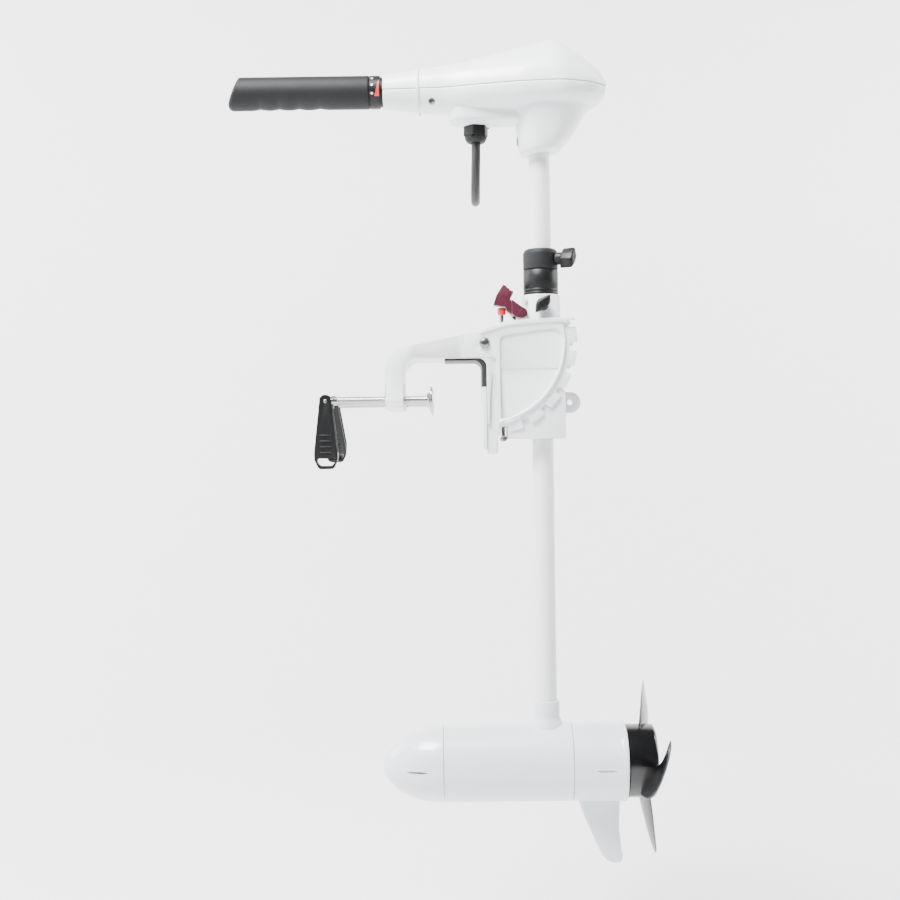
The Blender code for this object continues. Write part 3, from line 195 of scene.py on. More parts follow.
for row in frame["record"]["subparts"]:
    cad = frame["nodes"][row["node"]]
    cad.data.materials.clear()
    cad.data.materials.append(FINISHES[row["material_slot"]])

# ---------------------------------------------------------------- shape helpers
# A shape is a list of points and a list of faces, in millimetres.


def arc(centre, radius, start, end, steps):
    """Points on a circle from one angle to another, in degrees."""
    points = []
    for k in range(steps + 1):
        turn = math.radians(start + (end - start) * k / steps)
        points.append((centre[0] + radius * math.cos(turn), centre[1] + radius * math.sin(turn)))
    return points


def rounded(points, radius, steps=3, closed=False):
    """The same line with each real corner drawn as a small curve."""
    if not radius:
        return points
    line = [Vector(p) for p in points]
    count = len(line)
    made = []
    for i, here in enumerate(line):
        back, on = line[i - 1] - here, line[(i + 1) % count] - here
        at_end = not closed and i in (0, count - 1)
        if at_end or min(back.length, on.length) < 1e-6 or back.angle(-on) < math.radians(10):
            made.append(tuple(here))
            continue
        reach = min(radius, back.length * 0.45, on.length * 0.45)
        a, b = here + back.normalized() * reach, here + on.normalized() * reach
        for k in range(steps + 1):
            t = k / steps
            made.append(tuple((1 - t) ** 2 * a + 2 * t * (1 - t) * here + t * t * b))
    return made


def offset(outline, distance):
    """The closed outline grown square to its own edges."""
    count = len(outline)
    pairs = zip(outline, outline[1:] + outline[:1])
    sign = 1 if sum(a[0] * b[1] - b[0] * a[1] for a, b in pairs) > 0 else -1
    grown = []
    for i, p in enumerate(outline):
        into = (Vector(p) - Vector(outline[i - 1])).normalized()
        out = (Vector(outline[(i + 1) % count]) - Vector(p)).normalized()
        first, second = Vector((into.y, -into.x)), Vector((out.y, -out.x))
        mitre = (first + second) / max(0.5, 1 + first.dot(second))
        grown.append(tuple(Vector(p) + mitre * (distance * sign)))
    return grown


def frame_of(axis):
    """The axis as a unit vector, and two directions square to it and to each other."""
    along = Vector(axis).normalized()
    across = Vector((0, 1, 0)) if abs(along.y) < 0.9 else Vector((1, 0, 0))
    side = (across - along * across.dot(along)).normalized()
    return along, side, along.cross(side)


def turned(profile, origin, axis, segments=FINE, hollow=False):
    """A profile of (radius, distance along the axis) spun about the axis."""
    along, side, up = frame_of(axis)
    points, rings, faces = [], [], []
    for radius, distance in profile:
        middle = Vector(origin) + along * distance
        if radius < 1e-6:
            rings.append([len(points)])
            points.append(middle)
            continue
        rings.append(list(range(len(points), len(points) + segments)))
        for i in range(segments):
            turn = 2 * math.pi * i / segments
            points.append(middle + (side * math.cos(turn) + up * math.sin(turn)) * radius)
    pairs = list(zip(rings, rings[1:])) + ([(rings[-1], rings[0])] if hollow else [])
    for low, high in pairs:
        for i in range(segments):
            j = (i + 1) % segments
            if len(low) == 1:
                faces.append((low[0], high[i], high[j]))
            elif len(high) == 1:
                faces.append((low[i], low[j], high[0]))
            else:
                faces.append((low[i], low[j], high[j], high[i]))
    return points, faces


def upright(profile, x, segments=ROUND, hollow=False):
    """A profile of (radius, height) spun about the vertical line at x."""
    return turned(profile, (x, 0, 0), (0, 0, 1), segments, hollow)


def lengthwise(profile, z, segments=ROUND, hollow=False):
    """A profile of (radius, x) spun about the fore and aft line at a height."""
    return turned(profile, (0, 0, z), (1, 0, 0), segments, hollow)


def crossbar(radius, x, z, half, segments=32, edge=0.0):
    """A rod across the part, as far to the left as to the right."""
    return rod(radius, (x, -half, z), (x, half, z), segments, edge)


def rod(radius, start, end, segments=FINE, edge=0.4):
    length = (Vector(end) - Vector(start)).length
    profile = rounded([(0, 0), (radius, 0), (radius, length), (0, length)], edge)
    return turned(profile, start, Vector(end) - Vector(start), segments)


def pipe(outer, inner, start, end, segments=FINE, edge=0.4):
    length = (Vector(end) - Vector(start)).length
    profile = [(outer, 0), (outer, length), (inner, length), (inner, 0)]
    direction = Vector(end) - Vector(start)
    return turned(rounded(profile, edge, 3, True), start, direction, segments, hollow=True)


def loft(rings, ends=True):
    """Skin a row of rings that have the same number of points."""
    count = len(rings[0])
    points = [p for ring in rings for p in ring]
    faces = []
    if ends:
        faces += [tuple(range(count)), tuple(range(len(points) - count, len(points)))]
    for k in range(len(rings) - 1):
        for i in range(count):
            j = (i + 1) % count
            a, b = k * count, (k + 1) * count
            faces.append((a + i, a + j, b + j, b + i))
    return points, faces


def slab(outline, low, high, across="Y", edge=0.0):
    """An outline extruded along one axis, with its long edges rounded."""
    place = {
        "X": lambda a, b, t: (t, a, b),
        "Y": lambda a, b, t: (a, t, b),
        "Z": lambda a, b, t: (a, b, t),
    }[across]
    levels = [(low, 0.0), (high, 0.0)]
    if edge:
        turns = [math.radians(t) for t in (0, 30, 60, 90)]
        curve = [(edge * (1 - math.cos(t)), -edge * (1 - math.sin(t))) for t in turns]
        levels = [(low + depth, shrink) for depth, shrink in curve]
        levels += [(high - depth, shrink) for depth, shrink in reversed(curve)]
    rings = []
    for t, shrink in levels:
        line = offset(outline, shrink) if shrink else outline
        rings.append([place(a, b, t) for a, b in line])
    return loft(rings)


def box(low, high, edge=0.0):
    corners = [(low[0], low[2]), (high[0], low[2]), (high[0], high[2]), (low[0], high[2])]
    return slab(corners, low[1], high[1], "Y", edge)


def moved(shape, matrix):
    points, faces = shape
    return [matrix @ Vector(p) for p in points], faces


def between(table, x):
    """Straight-line value of a table of (x, value) pairs."""
    for (x0, v0), (x1, v1) in zip(table, table[1:]):
        if x <= x1:
            return v0 + (v1 - v0) * (x - x0) / (x1 - x0)
    return table[-1][1]


def eased(table, x, reach):
    """The table's value averaged over a short reach, which rounds its corners."""
    low, high = table[0][0], table[-1][0]
    spread = [min(max(x + reach * k / 3, low), high) for k in range(-3, 4)]
    return sum(between(table, at) for at in spread) / len(spread)


# ---------------------------------------------------------------- making pieces


def raw_object(name, shape):
    vertices, faces = shape
    mesh = bpy.data.meshes.new(name)
    work = bmesh.new()
    corners = [work.verts.new(Vector(v) * MM) for v in vertices]
    for face in faces:
        work.faces.new([corners[i] for i in face])
    bmesh.ops.recalc_face_normals(work, faces=work.faces)
    work.to_mesh(mesh)
    work.free()
    made = bpy.data.objects.new(name, mesh)
    bpy.context.scene.collection.objects.link(made)
    return made


def settle(made):
    """Replace an object's mesh by what its modifiers make of it."""
    graph = bpy.context.evaluated_depsgraph_get()
    made.data = bpy.data.meshes.new_from_object(made.evaluated_get(graph))
    made.modifiers.clear()


def combine(made, operation, other):
    """Cut, or keep only what is shared with, another object that is then thrown away."""
    modifier = made.modifiers.new(operation, "BOOLEAN")
    modifier.operation = operation
    modifier.object = other
    bpy.context.view_layer.update()
    settle(made)
    bpy.data.objects.remove(other)


def carve(made, cuts=(), joins=()):
    """Add the joins to an object, then take the cuts away from it."""
    tools = []
    for operation, shapes in (("UNION", joins), ("DIFFERENCE", cuts)):
        for shape in shapes:
            tool = raw_object(f"{made.name}_tool", shape)
            modifier = made.modifiers.new(operation, "BOOLEAN")
            modifier.operation = operation
            modifier.object = tool
            tools.append(tool)
    if tools:
        bpy.context.view_layer.update()
        settle(made)
    for tool in tools:
        bpy.data.objects.remove(tool)


def soften(made, width, sharp=32.0):
    """Round the sharp edges of a planar solid."""
    work = bmesh.new()
    work.from_mesh(made.data)
    bmesh.ops.remove_doubles(work, verts=work.verts, dist=0.00002)
    bmesh.ops.dissolve_limit(work, angle_limit=math.radians(0.6), verts=work.verts, edges=work.edges)
    work.to_mesh(made.data)
    work.free()
    bevel = made.modifiers.new("Edges", "BEVEL")
    bevel.width = width * MM
    bevel.segments = 2
    bevel.limit_method = "ANGLE"
    bevel.angle_limit = math.radians(sharp)
    bevel.use_clamp_overlap = False
    bevel.miter_outer = "MITER_ARC"
    settle(made)


def dress(made, body, slot, stands_for=(), sharp=38.0):
    """Give a piece its finish and smooth shading, and hang it on its body."""
    made.data.materials.clear()
    made.data.materials.append(FINISHES[slot])
    if made.type == "MESH":
        made.data.shade_smooth()
        made.data.set_sharp_from_angle(angle=math.radians(sharp))
    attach(made, body)
    if stands_for:
        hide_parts(*stands_for)
    return made


def make(name, shape, body, slot, stands_for=(), cuts=(), sharp=38.0):
    made = raw_object(name, shape)
    carve(made, cuts)
    return dress(made, body, slot, stands_for, sharp)


def softened(node, width):
    """A copy of a CAD solid with its edges rounded."""
    source = frame["nodes"][node]
    made = bpy.data.objects.new(f"{node}_skin", source.data.copy())
    bpy.context.scene.collection.objects.link(made)
    soften(made, width)
    slot = next(r["material_slot"] for r in frame["record"]["subparts"] if r["node"] == node)
    return dress(made, source["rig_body"], slot, (node,))


# ---------------------------------------------------------------- power cable

CABLE_R = 0.0055
FOLD_R = 0.033
RUN_HALF = 0.066
HANK_AT = (-0.004, 0.081, 0.391)
HANK_YAW = math.radians(9.5)
ENTRY = 0.045
TURNS = 2
PLUG_START = 0.1045
CABLE_EXIT = (-0.0025, 0.0, 0.3109)
CABLE_ROUTE = [
    CABLE_EXIT,
    (-0.0026, 0, 0.304),
    (-0.0028, 0.0004, 0.294),
    (-0.0032, 0.0036, 0.277),
    (-0.0035, 0.0115, 0.262),
    (-0.0035, 0.024, 0.2525),
    (-0.0032, 0.038, 0.249),
    (-0.0028, 0.053, 0.2505),
    (-0.0022, 0.068, 0.257),
    (-0.0016, 0.0805, 0.268),
    (-0.0012, 0.090, 0.2815),
    (-0.0010, 0.097, 0.297),
    (-0.0008, 0.1025, 0.313),
    (-0.0004, 0.107, 0.328),
    (0.0012, 0.1105, 0.342),
    (0.0080, 0.1136, 0.3555),
    (0.0175, 0.1158, 0.3649),
]


def hank_place():
    return Matrix.Translation(HANK_AT) @ Matrix.Rotation(HANK_YAW, 4, "Z")


def racetrack(walked):
    """A point on one turn of the hank, at a distance from where the cable joins it."""
    straight, fold = 2 * RUN_HALF, math.pi * FOLD_R
    walked = (walked + ENTRY - RUN_HALF) % (2 * (straight + fold))
    if walked < fold:
        turn = walked / FOLD_R
        return RUN_HALF + FOLD_R * math.sin(turn), FOLD_R * math.cos(turn)
    walked -= fold
    if walked < straight:
        return RUN_HALF - walked, -FOLD_R
    walked -= straight
    if walked < fold:
        turn = walked / FOLD_R
        return -RUN_HALF - FOLD_R * math.sin(turn), -FOLD_R * math.cos(turn)
    return -RUN_HALF + walked - fold, FOLD_R


def cable_line():
    """The whole lead: down from the gland, up behind the head, round the hank, into its plug."""
    place = hank_place()
    lap = 2 * (2 * RUN_HALF + math.pi * FOLD_R)
    line = [Vector(p) for p in CABLE_ROUTE]
    for u, z in ((0.0272, -0.0186), (0.0345, -0.0137), (0.0430, -0.0113)):
        line.append(place @ Vector((u, FOLD_R, z)))
    count = 36 * TURNS
    for k in range(1, count + 1):
        walked = lap * TURNS * k / count
        u, v = racetrack(walked + 0.008)
        rise = 2 * CABLE_R * min(1.0, walked / lap / TURNS) * TURNS
        line.append(place @ Vector((u, v, rise - 2 * CABLE_R)))
    for u in (0.066, 0.080, 0.094, PLUG_START + 0.006):
        line.append(place @ Vector((u, FOLD_R, 2 * CABLE_R)))
    return line


def flowing(knots, spacing):
    """Closely spaced points on a Catmull-Rom curve through the knots."""
    knots = [knots[0] * 2 - knots[1], *knots, knots[-1] * 2 - knots[-2]]
    made = []
    for a, b, c, d in zip(knots, knots[1:], knots[2:], knots[3:]):
        steps = max(1, round((c - b).length / spacing))
        for k in range(steps):
            t = k / steps
            bend = 2 * b + (c - a) * t + (2 * a - 5 * b + 4 * c - d) * t * t
            made.append(0.5 * (bend + (3 * b - a - 3 * c + d) * t**3))
    return [*made, knots[-2]]


def make_cable():
    points = flowing(cable_line(), 0.004)
    length = sum((b - a).length for a, b in zip(points, points[1:]))
    curve = bpy.data.curves.new("power_lead", "CURVE")
    curve.dimensions = "3D"
    curve.bevel_depth = CABLE_R
    curve.bevel_resolution = 5
    curve.use_fill_caps = True
    line = curve.splines.new("POLY")
    line.points.add(len(points) - 1)
    for knot, point in zip(line.points, points):
        knot.co = (*point, 1.0)
    line.use_smooth = True
    lead = bpy.data.objects.new("power_lead", curve)
    bpy.context.scene.collection.objects.link(lead)
    dress(lead, "shaft", "cable_rubber", ("power_cable", "cable_hank"))
    return lead, length


lead, lead_length = make_cable()
plug = softened("battery_plug", 0.7)
tie = softened("hank_tie", 0.35)

# ---------------------------------------------------------------- clamp bracket

PIVOT = (3.8, 67.4)
CHEEK_IN, CHEEK_WEB, CHEEK_OUT = 26.3, 29.0, 31.5
TOOTH_R, NOTCH_R, RIM_R, WINDOW_R = 110.3, 102.0, 96.0, 93.0
NOTCH_FIRST, NOTCH_STEP, NOTCH_COUNT = -12.3, 15.0, 7
CHEEK_TOP = [(-1, 83.0), (28, 92.0), (54, 94.6), (82, 96.0), (111, 96.0)]
PIVOT_BORE_R = 4.35
PANEL_STEP = 0.45
SCREW_Y = 48.0
SHAFT_X = 73.5


def sector_point(radius, below):
    """A point at an angle below the aft direction, about the tilt pivot."""
    turn = math.radians(-below)
    return PIVOT[0] + radius * math.cos(turn), PIVOT[1] + radius * math.sin(turn)


def toothed_arc():
    """The toothed edge of a cheek, from under the top flange down to the jaw."""
    root = math.degrees(3.8 / NOTCH_R)
    mouth = math.degrees(5.2 / TOOTH_R)
    edge = []
    for k in range(NOTCH_COUNT):
        middle = NOTCH_FIRST + NOTCH_STEP * k
        if k > 0:
            edge.append(sector_point(TOOTH_R, middle - mouth))
        edge += [sector_point(NOTCH_R, middle - root), sector_point(NOTCH_R, middle + root)]
        edge.append(sector_point(TOOTH_R, middle + mouth))
        if k < NOTCH_COUNT - 1:
            edge += [sector_point(TOOTH_R, middle + NOTCH_STEP * share) for share in (0.4, 0.5, 0.6)]
    return edge


def window_outline():
    rim = [sector_point(WINDOW_R, below) for below in range(0, 78, 3)]
    corners = [(22.0, 75.6), (40.0, 78.6), (57.0, 81.0), (74.0, 83.0), (88.5, 84.2)]
    outline = [*corners, sector_point(WINDOW_R, -6), *rim, (22.0, -22.5)]
    return rounded(outline, 7.0, 6, closed=True)


def arm_outline():
    inner = arc((-76.0, 32.5), 17, 180, 90, 16)
    corner = arc((-4.0, 39.6), 9.9, 90, 0, 12)
    jaw = [(5.9, -64.0), (18.0, -64.0), (18.0, 54.5), (-22.0, 54.5)]
    crown = rounded([(-22.0, 78.1), (-97, 60.5), (-108, 54.0), (-114, 38.0), (-114, -9.0)], 10, 6)
    return [*inner, *corner, *jaw, *crown, (-93, -9.0)]


def sector_lip(side):
    """The rounded lip along the sector's curved window edge."""
    middle_r, lip_r = 94.6, 1.7
    rings = []
    for below in range(0, 80, 2):
        cx, cz = sector_point(middle_r, below)
        turn = math.radians(-below)
        ring = []
        for x, y in arc((0, 0), lip_r, 0, 345, 23):
            ring.append((cx + x * math.cos(turn), side * (30.9 + y * 0.8), cz + x * math.sin(turn)))
        rings.append(ring)
    return loft(rings)


def ellipsoid(centre, reach, steps=20):
    points, faces = turned(
        [(math.sin(math.pi * k / steps), -math.cos(math.pi * k / steps)) for k in range(steps + 1)],
        (0, 0, 0),
        (0, 0, 1),
        40,
    )
    placed = [Vector((c + p * r for c, p, r in zip(centre, point, reach))) for point in points]
    return placed, faces


def make_bracket():
    arm = slab(arm_outline(), -60, 60)
    narrow = CHEEK_OUT - 0.3
    plan = [(-115, -58.2), (-84, -58.2), (-24, -narrow), (20, -narrow)]
    plan = rounded(plan, 6.0, 5) + [(x, -y) for x, y in reversed(rounded(plan, 6.0, 5))]
    cast = raw_object("bracket_skin", arm)
    combine(cast, "INTERSECT", raw_object("bracket_plan", slab(plan, -90, 120, "Z")))

    foot = [(16.0, -43.5), (16.0, 51.0), (-25.0, 51.0), (-25.0, 76.0), (-21.5, 77.9)]
    cheek = [*CHEEK_TOP, (111, 91.5), *toothed_arc(), *foot]
    band = [sector_point(RIM_R, below) for below in range(-14, 92, 3)]
    band += [sector_point(TOOTH_R + 20, below) for below in (90, 60, 30, 10, -12)]
    low = [(x, z - 4.7) for x, z in reversed(CHEEK_TOP)]
    flange = [*((x - 0.3, z + 0.3) for x, z in CHEEK_TOP), *low]
    panel = [(12, 36.4), (112, 36.4), (112, -60), (12, -60)]
    slot = arc((108.0, 89.4), 3.6, 90, 270, 12) + [(131, 85.8), (131, 93.0)]
    between_arms = box((-130, -37.3, -30), (-88, 37.3, 24))
    carve(cast, [between_arms], [slab(cheek, side * 20.0, side * CHEEK_OUT) for side in SIDES])
    recesses = []
    for side in SIDES:
        recesses.append(slab(band, side * CHEEK_WEB, side * 45))
        recesses.append(slab(window_outline(), side * CHEEK_WEB, side * 40))
    carve(cast, recesses)
    for side in SIDES:
        lower = raw_object("lower_panel", slab(panel, side * (CHEEK_WEB - PANEL_STEP), side * 30.2))
        window = slab(window_outline(), side * 20.0, side * 40)
        combine(lower, "INTERSECT", raw_object("window_mask", window))
        combine(cast, "DIFFERENCE", lower)
    drafts = []
    for side in SIDES:
        wedge = [(6.4, side * 31.8), (17.4, side * 31.8), (17.4, side * 27.8)]
        drafts.append(slab(wedge, -80, 49.0, "Z"))
    scoops = [ellipsoid((19, side * CHEEK_WEB, -38), (27, 1.9, 68)) for side in SIDES]
    back = 17.7
    space = [(-24, 53.5), (back, 53.5), (back, -200), (200, -200), (200, 200), (-24, 200)]
    carve(
        cast,
        [slab(slot, side * 20.0, side * 45.0) for side in SIDES]
        + scoops
        + drafts
        + [
            slab(space, -CHEEK_IN, CHEEK_IN),
            crossbar(PIVOT_BORE_R, *PIVOT, 40),
        ],
        [slab(flange, side * 23.0, side * (CHEEK_OUT + 2.0)) for side in SIDES],
    )
    carve(
        cast,
        [rod(5.4, (-130, side * SCREW_Y, 0), (-80, side * SCREW_Y, 0), 32, 0) for side in SIDES],
        [rod(10.9, (-113.6, side * SCREW_Y, 0), (-92.6, side * SCREW_Y, 0), 48, 0) for side in SIDES],
    )
    soften(cast, 0.7)
    carve(cast, (), [sector_lip(side) for side in SIDES])
    dress(cast, "bracket", "cool_white", ("clamp_bracket",))


make_bracket()


def make_jaw():
    """The ribbed pad on the jaw, its three faces slightly domed, and a near-black strip round the inner
    corner that stands in for the shade there: painted shade.
    """
    face = []
    for top, foot in ((15.6, -8.7), (-10.3, -35.2), (-36.8, -57.0)):
        for k in range(9):
            t = k / 8
            face.append((0.25 - math.sin(math.pi * t) ** 0.6 * 0.25, top + (foot - top) * t))
        face.append((1.1, foot - 0.8))
    outline = [(5.6, 15.6), *face[:-1], (2.0, -59.0), (5.6, -59.0)]
    make("jaw_pad_skin", slab(outline, -29.5, 29.5, "Y", 0.5), "bracket", "cool_white", ("jaw_pad",))
    # Painted shade: a near-black strip in the cable rubber finish, laid round the inner corner where the
    # arm's underside meets the jaw in shade.
    front = arc((-9.3, 37.4), 9.5, 90, 0, 12)
    back = arc((-4.0, 39.6), 9.6, 0, 90, 12)
    strip = [(-44, 46.9), *front, (0.2, 16.2), (5.6, 16.2), *back, (-44, 49.2)]
    corner_shade_strip = slab(strip, -30.0, 30.0, "Y", 0.3)
    make("jaw_corner_shade_skin", corner_shade_strip, "bracket", "cable_rubber", ("jaw_liner",))


def make_pivot():
    """The tilt bolt with its domed, slotted head, and the nut on its far end."""
    profile = [(0, -4.4), (2.5, -4.3), (4.6, -3.7), (5.8, -2.5), (6.2, -1.2), (6.2, -0.3)]
    profile += [(4.0, -0.3), (4.0, 2 * CHEEK_OUT + 9.0), (0, 2 * CHEEK_OUT + 9.0)]
    bolt = turned(rounded(profile, 0.4), (PIVOT[0], -CHEEK_OUT, PIVOT[1]), (0, 1, 0), 40)
    x, z = PIVOT
    slot = box((x - 8, -CHEEK_OUT - 6, z - 0.7), (x + 8, -CHEEK_OUT - 3.2, z + 0.7))
    make("pivot_bolt_skin", bolt, "bracket", "steel", ("pivot_bolt",), cuts=[slot])
    hexagon = arc(PIVOT, 8.0, 0, 300, 5)
    nut = slab(rounded(hexagon, 1.0, 3, True), CHEEK_OUT + 0.3, CHEEK_OUT + 6.8, "Y", 0.6)
    bore = rod(4.3, (PIVOT[0], 20, PIVOT[1]), (PIVOT[0], 60, PIVOT[1]), 32, 0)
    make("pivot_nut_skin", nut, "bracket", "steel", ("pivot_nut",), cuts=[bore])


make_jaw()
make_pivot()

# ---------------------------------------------------------------- clamp screws

SCREW_R = 5.0
SCREW_END = -190.0
HANDLE_X = -184.0
PAD_FACE = -58.5
THREAD_PITCH = 2.0
THREAD_DEEP = 0.45


def threaded_bar(y):
    """The clamp screw: plain ends, and a fine thread that runs out at both of them."""
    start, stop = SCREW_END, PAD_FACE - 2.6
    thread_from, thread_to, sides = -172.0, -66.0, 32
    rings = []
    places = [start, start + 0.3, start + 0.8]
    step = THREAD_PITCH / 6
    places += [thread_from + step * k for k in range(round((thread_to - thread_from) / step) + 1)]
    places += [stop - 0.8, stop - 0.3, stop]
    for x in places:
        end = min(x - start, stop - x)
        plain = SCREW_R - (0.8 - min(end, 0.8)) * 0.9
        run_in = min(1.0, max(0.0, min(x - thread_from, thread_to - x)) / THREAD_PITCH)
        ring = []
        for i in range(sides):
            turn = 2 * math.pi * i / sides
            phase = (x / THREAD_PITCH - i / sides) % 1.0
            groove = 1 - abs(2 * phase - 1)
            r = plain - THREAD_DEEP * run_in * groove**0.8
            ring.append((x, y + r * math.cos(turn), r * math.sin(turn)))
        rings.append(ring)
    return loft(rings)


def make_clamp(name, side, turn):
    y = side * SCREW_Y
    lean = Matrix.Translation((HANDLE_X, y, 0)) @ Matrix.Rotation(math.radians(turn), 4, "X")
    foot = [(5.4, -6.5), (7.6, -6.5), (8.0, -6.1), (8.6, -4.6), (10.4, -3.0), (13.4, -2.5)]
    foot += [(15.6, -2.5), (16.0, -2.1), (16.0, -0.5)]
    disc = turned(
        [(0, -2.2), (5.4, -2.2), *rounded(foot, 0.5), (15.5, 0.0), (0, 0)],
        (PAD_FACE, y, 0),
        (1, 0, 0),
    )
    make(f"{name}_pad_skin", disc, f"{name}_pad", "zinc_plate", (f"{name}_clamp_pad",))
    hole = moved(rod(2.3, (0, -20, 0), (0, 20, 0), 24, 0), lean)
    make(
        f"{name}_screw_skin",
        threaded_bar(y),
        f"{name}_screw",
        "zinc_plate",
        (f"{name}_clamp_screw",),
        cuts=[hole],
        sharp=30,
    )
    pin = [(0, -8.9), (1.4, -8.8), (2.0, -8.3), (2.0, 8.3), (1.4, 8.8), (0, 8.9)]
    dowel = moved(turned(pin, (0, 0, 0), (0, 1, 0), 32), lean)
    make(f"{name}_pin_skin", dowel, f"{name}_screw", "steel", (f"{name}_handle_pin",))

    half = 8.2
    outline = arc((0, 0), 7.6, 150, 30, 16) + [(13.7, -59.0), (13.7, -68.5), (8.5, -79.5)]
    outline += [(-8.5, -79.5), (-13.7, -68.5), (-13.7, -59.0)]
    paddle = moved(slab(rounded(outline, 3.0, 4, True), -half, half), lean)
    channel = [(-20, -12), (-10, -12), (-10, -60), (20, -60), (20, 20), (-20, 20)]
    window = [(10.4, -67.2), (-10.4, -67.2), (-10.4, -71.5), (-7.0, -75.5), (7.0, -75.5), (10.4, -71.5)]
    cuts = [
        moved(slab(rounded(channel, 2.0, 3, True), -5.4, 5.4), lean),
        moved(rod(2.35, (0, -20, 0), (0, 20, 0), 32, 0), lean),
        moved(slab(rounded(window, 1.8, 4, True), -20, 20), lean),
    ]
    joins = []
    for face in (-1, 1):
        for k in range(4):
            z = -40.0 - 6.7 * k
            bar = rod(0.75, (-7.0, face * half, z), (7.0, face * half, z), 16, 0.5)
            joins.append(moved(bar, lean))
    handle = raw_object(f"{name}_handle_skin", paddle)
    carve(handle, cuts)
    soften(handle, 0.6)
    carve(handle, (), joins)
    dress(handle, f"{name}_handle", "black_plastic", (f"{name}_clamp_handle",))


make_clamp("left", -1, 0.0)
make_clamp("right", 1, 30.0)

# ---------------------------------------------------------------- column and tilt lock

COLLAR_R = 23.0
COLUMN_TOP = 126.0
LUG_AT = (106.5, -3.7)
STEERING_KNOB_Z, DEPTH_KNOB_Z = 113, 169.0
ROD_X = 25.8
LEVER_X, LEVER_Z = 50.0, 103.0


def make_column():
    """The swinging block with its rope lug, and the round collar that the shaft turns in."""
    nose = arc(PIVOT, 12.6, 90, 270, 24)
    outline = [(99.5, -47.0), (99.5, 8.0), (95.5, 14.0), (95.5, 89.0), (44, 88.0)]
    outline += [*nose, (19, 54.3), (30, 42.0), (30, -47.0)]
    cast = raw_object("column_skin", slab(outline, -25.6, 25.6))
    lug = slab(rounded(rounded_lug(), 1.0, 2, True), -5, 5)
    joins = [
        rod(COLLAR_R, (SHAFT_X, 0, 80), (SHAFT_X, 0, COLUMN_TOP), 96, 0),
        box((43.5, -15.4, 80), (62, 15.4, 108.5)),
        box((19.7, -7, -4), (32, 7, 2)),
        lug,
    ]
    cuts = [
        crossbar(3.4, *LUG_AT, 12),
        rod(15.2, (SHAFT_X, 0, -60), (SHAFT_X, 0, 140), 64, 0),
        rod(2.9, (ROD_X, 0, -20), (ROD_X, 0, 100), 32, 0),
        crossbar(PIVOT_BORE_R, *PIVOT, 40),
        crossbar(2.8, LEVER_X, LEVER_Z, 30),
        rod(3.5, (SHAFT_X, -40, STEERING_KNOB_Z), (SHAFT_X, 0, STEERING_KNOB_Z), 32, 0),
    ]
    for side in SIDES:
        cuts.append(slab([(36, 18), (54, 18), (54, 78), (36, 76)], side * 17, side * 40))
    carve(cast, cuts, joins)
    soften(cast, 0.9)
    boss = rod(2.6, (54.3, -13.6, 119.3), (54.3, -17.4, 119.3), 32, 0.6)
    carve(cast, (), [boss])
    dress(cast, "column", "cool_white", ("swivel_column",))


def rounded_lug():
    return [(99, 9.0), *arc(LUG_AT, 12.8, 80, -80, 24), (99, -16.4)]


def make_bushings():
    bore = 12.95
    foot = pipe(14.9, bore, (SHAFT_X, 0, -46.6), (SHAFT_X, 0, -24), FINE)
    make("lower_bushing_skin", foot, "column", "black_plastic", ("lower_bushing",))
    radius, top, ledge = 21.0, 156.4, COLUMN_TOP + 0.3
    profile = [(14.9, 99.0), (14.9, ledge), (radius - 0.6, ledge), (radius, ledge + 0.6)]
    for ring in (ledge + 3.4, ledge + 7.2):
        profile += [(radius, ring - 0.5), (radius - 0.5, ring), (radius, ring + 0.5)]
    profile += [(radius, top - 0.8), (radius - 0.8, top), (bore, top), (bore, 99.0)]
    sleeve = upright(profile, SHAFT_X, hollow=True)
    make("column_sleeve_skin", sleeve, "column", "black_plastic", ("column_sleeve",), sharp=50)


def make_lock():
    """The lock rod with its collar and cross pin, and its red bushing."""
    low, high = -48.5, 109.6
    profile = [(0, low), (2.2, low), (2.2, 26.2), (3.9, 26.2), (3.9, 28.2), (2.2, 28.2)]
    profile += [(2.2, high), (0, high)]
    bar = raw_object("lock_rod_skin", upright(rounded(profile, 0.4), ROD_X, 32))
    pin = crossbar(3.2, ROD_X, -46.5, 33.5, 32, 0.8)
    carve(bar, (), [pin])
    dress(bar, "lock", "steel", ("lock_rod",))
    cap = [(0, 110.0), (2.6, 110.0), (2.6, 103.0), (4.3, 103.0), (4.7, 103.6), (4.8, 105.5)]
    cap += [(5.4, 109.0), (5.0, 111.2), (3.6, 112.0), (0, 112.2)]
    red = upright(rounded(cap, 0.3), ROD_X, 40)
    make("lever_bushing_skin", red, "lock", "bushing_red", ("lever_bushing",))


def make_lever():
    """The forked thumb lever: moulded ridges on its pad and a closed boss over each end of its pin."""
    made = raw_object("lever_skin", lever_shape())
    cuts = [box((39.5, -16.4, 80), (70, 16.4, 150))]
    for side in SIDES:
        low, high = sorted((side * 9.0, side * 30.0))
        cuts.append(box((0, low, 80), (37.5, high, 150)))
    cuts.append(crossbar(2.85, LEVER_X, LEVER_Z, 19.9))
    carve(made, cuts)
    soften(made, 0.7)
    ridges = []
    for k in range(3):
        at = Vector((31.0 + 3.4 * k, 0, 137.4 - 3.1 * k))
        across = rod(1.0, at + Vector((0, -7.6, 0)), at + Vector((0, 7.6, 0)), 20, 0.6)
        ridges.append(across)
    for side in SIDES:
        near = (LEVER_X, side * 19.9, LEVER_Z)
        far = (LEVER_X, side * 21.2, LEVER_Z)
        ridges.append(rod(4.6, near, far, 40, 0.4))
    carve(made, (), ridges)
    dress(made, "lever", "lever_maroon", ("tilt_lock_lever",))


def lever_shape():
    outline = [(28, 140), (40, 129), (35.5, 121.5), (49, 111.5), (55.5, 107.5), (56.3, 101)]
    outline += [(51.5, 97.8), (43, 98.2), (31.8, 107.5), (30.6, 112.9), (15.4, 114.6), (19, 126)]
    return slab(rounded(outline, 2.2, 4, True), -20.4, 20.4)


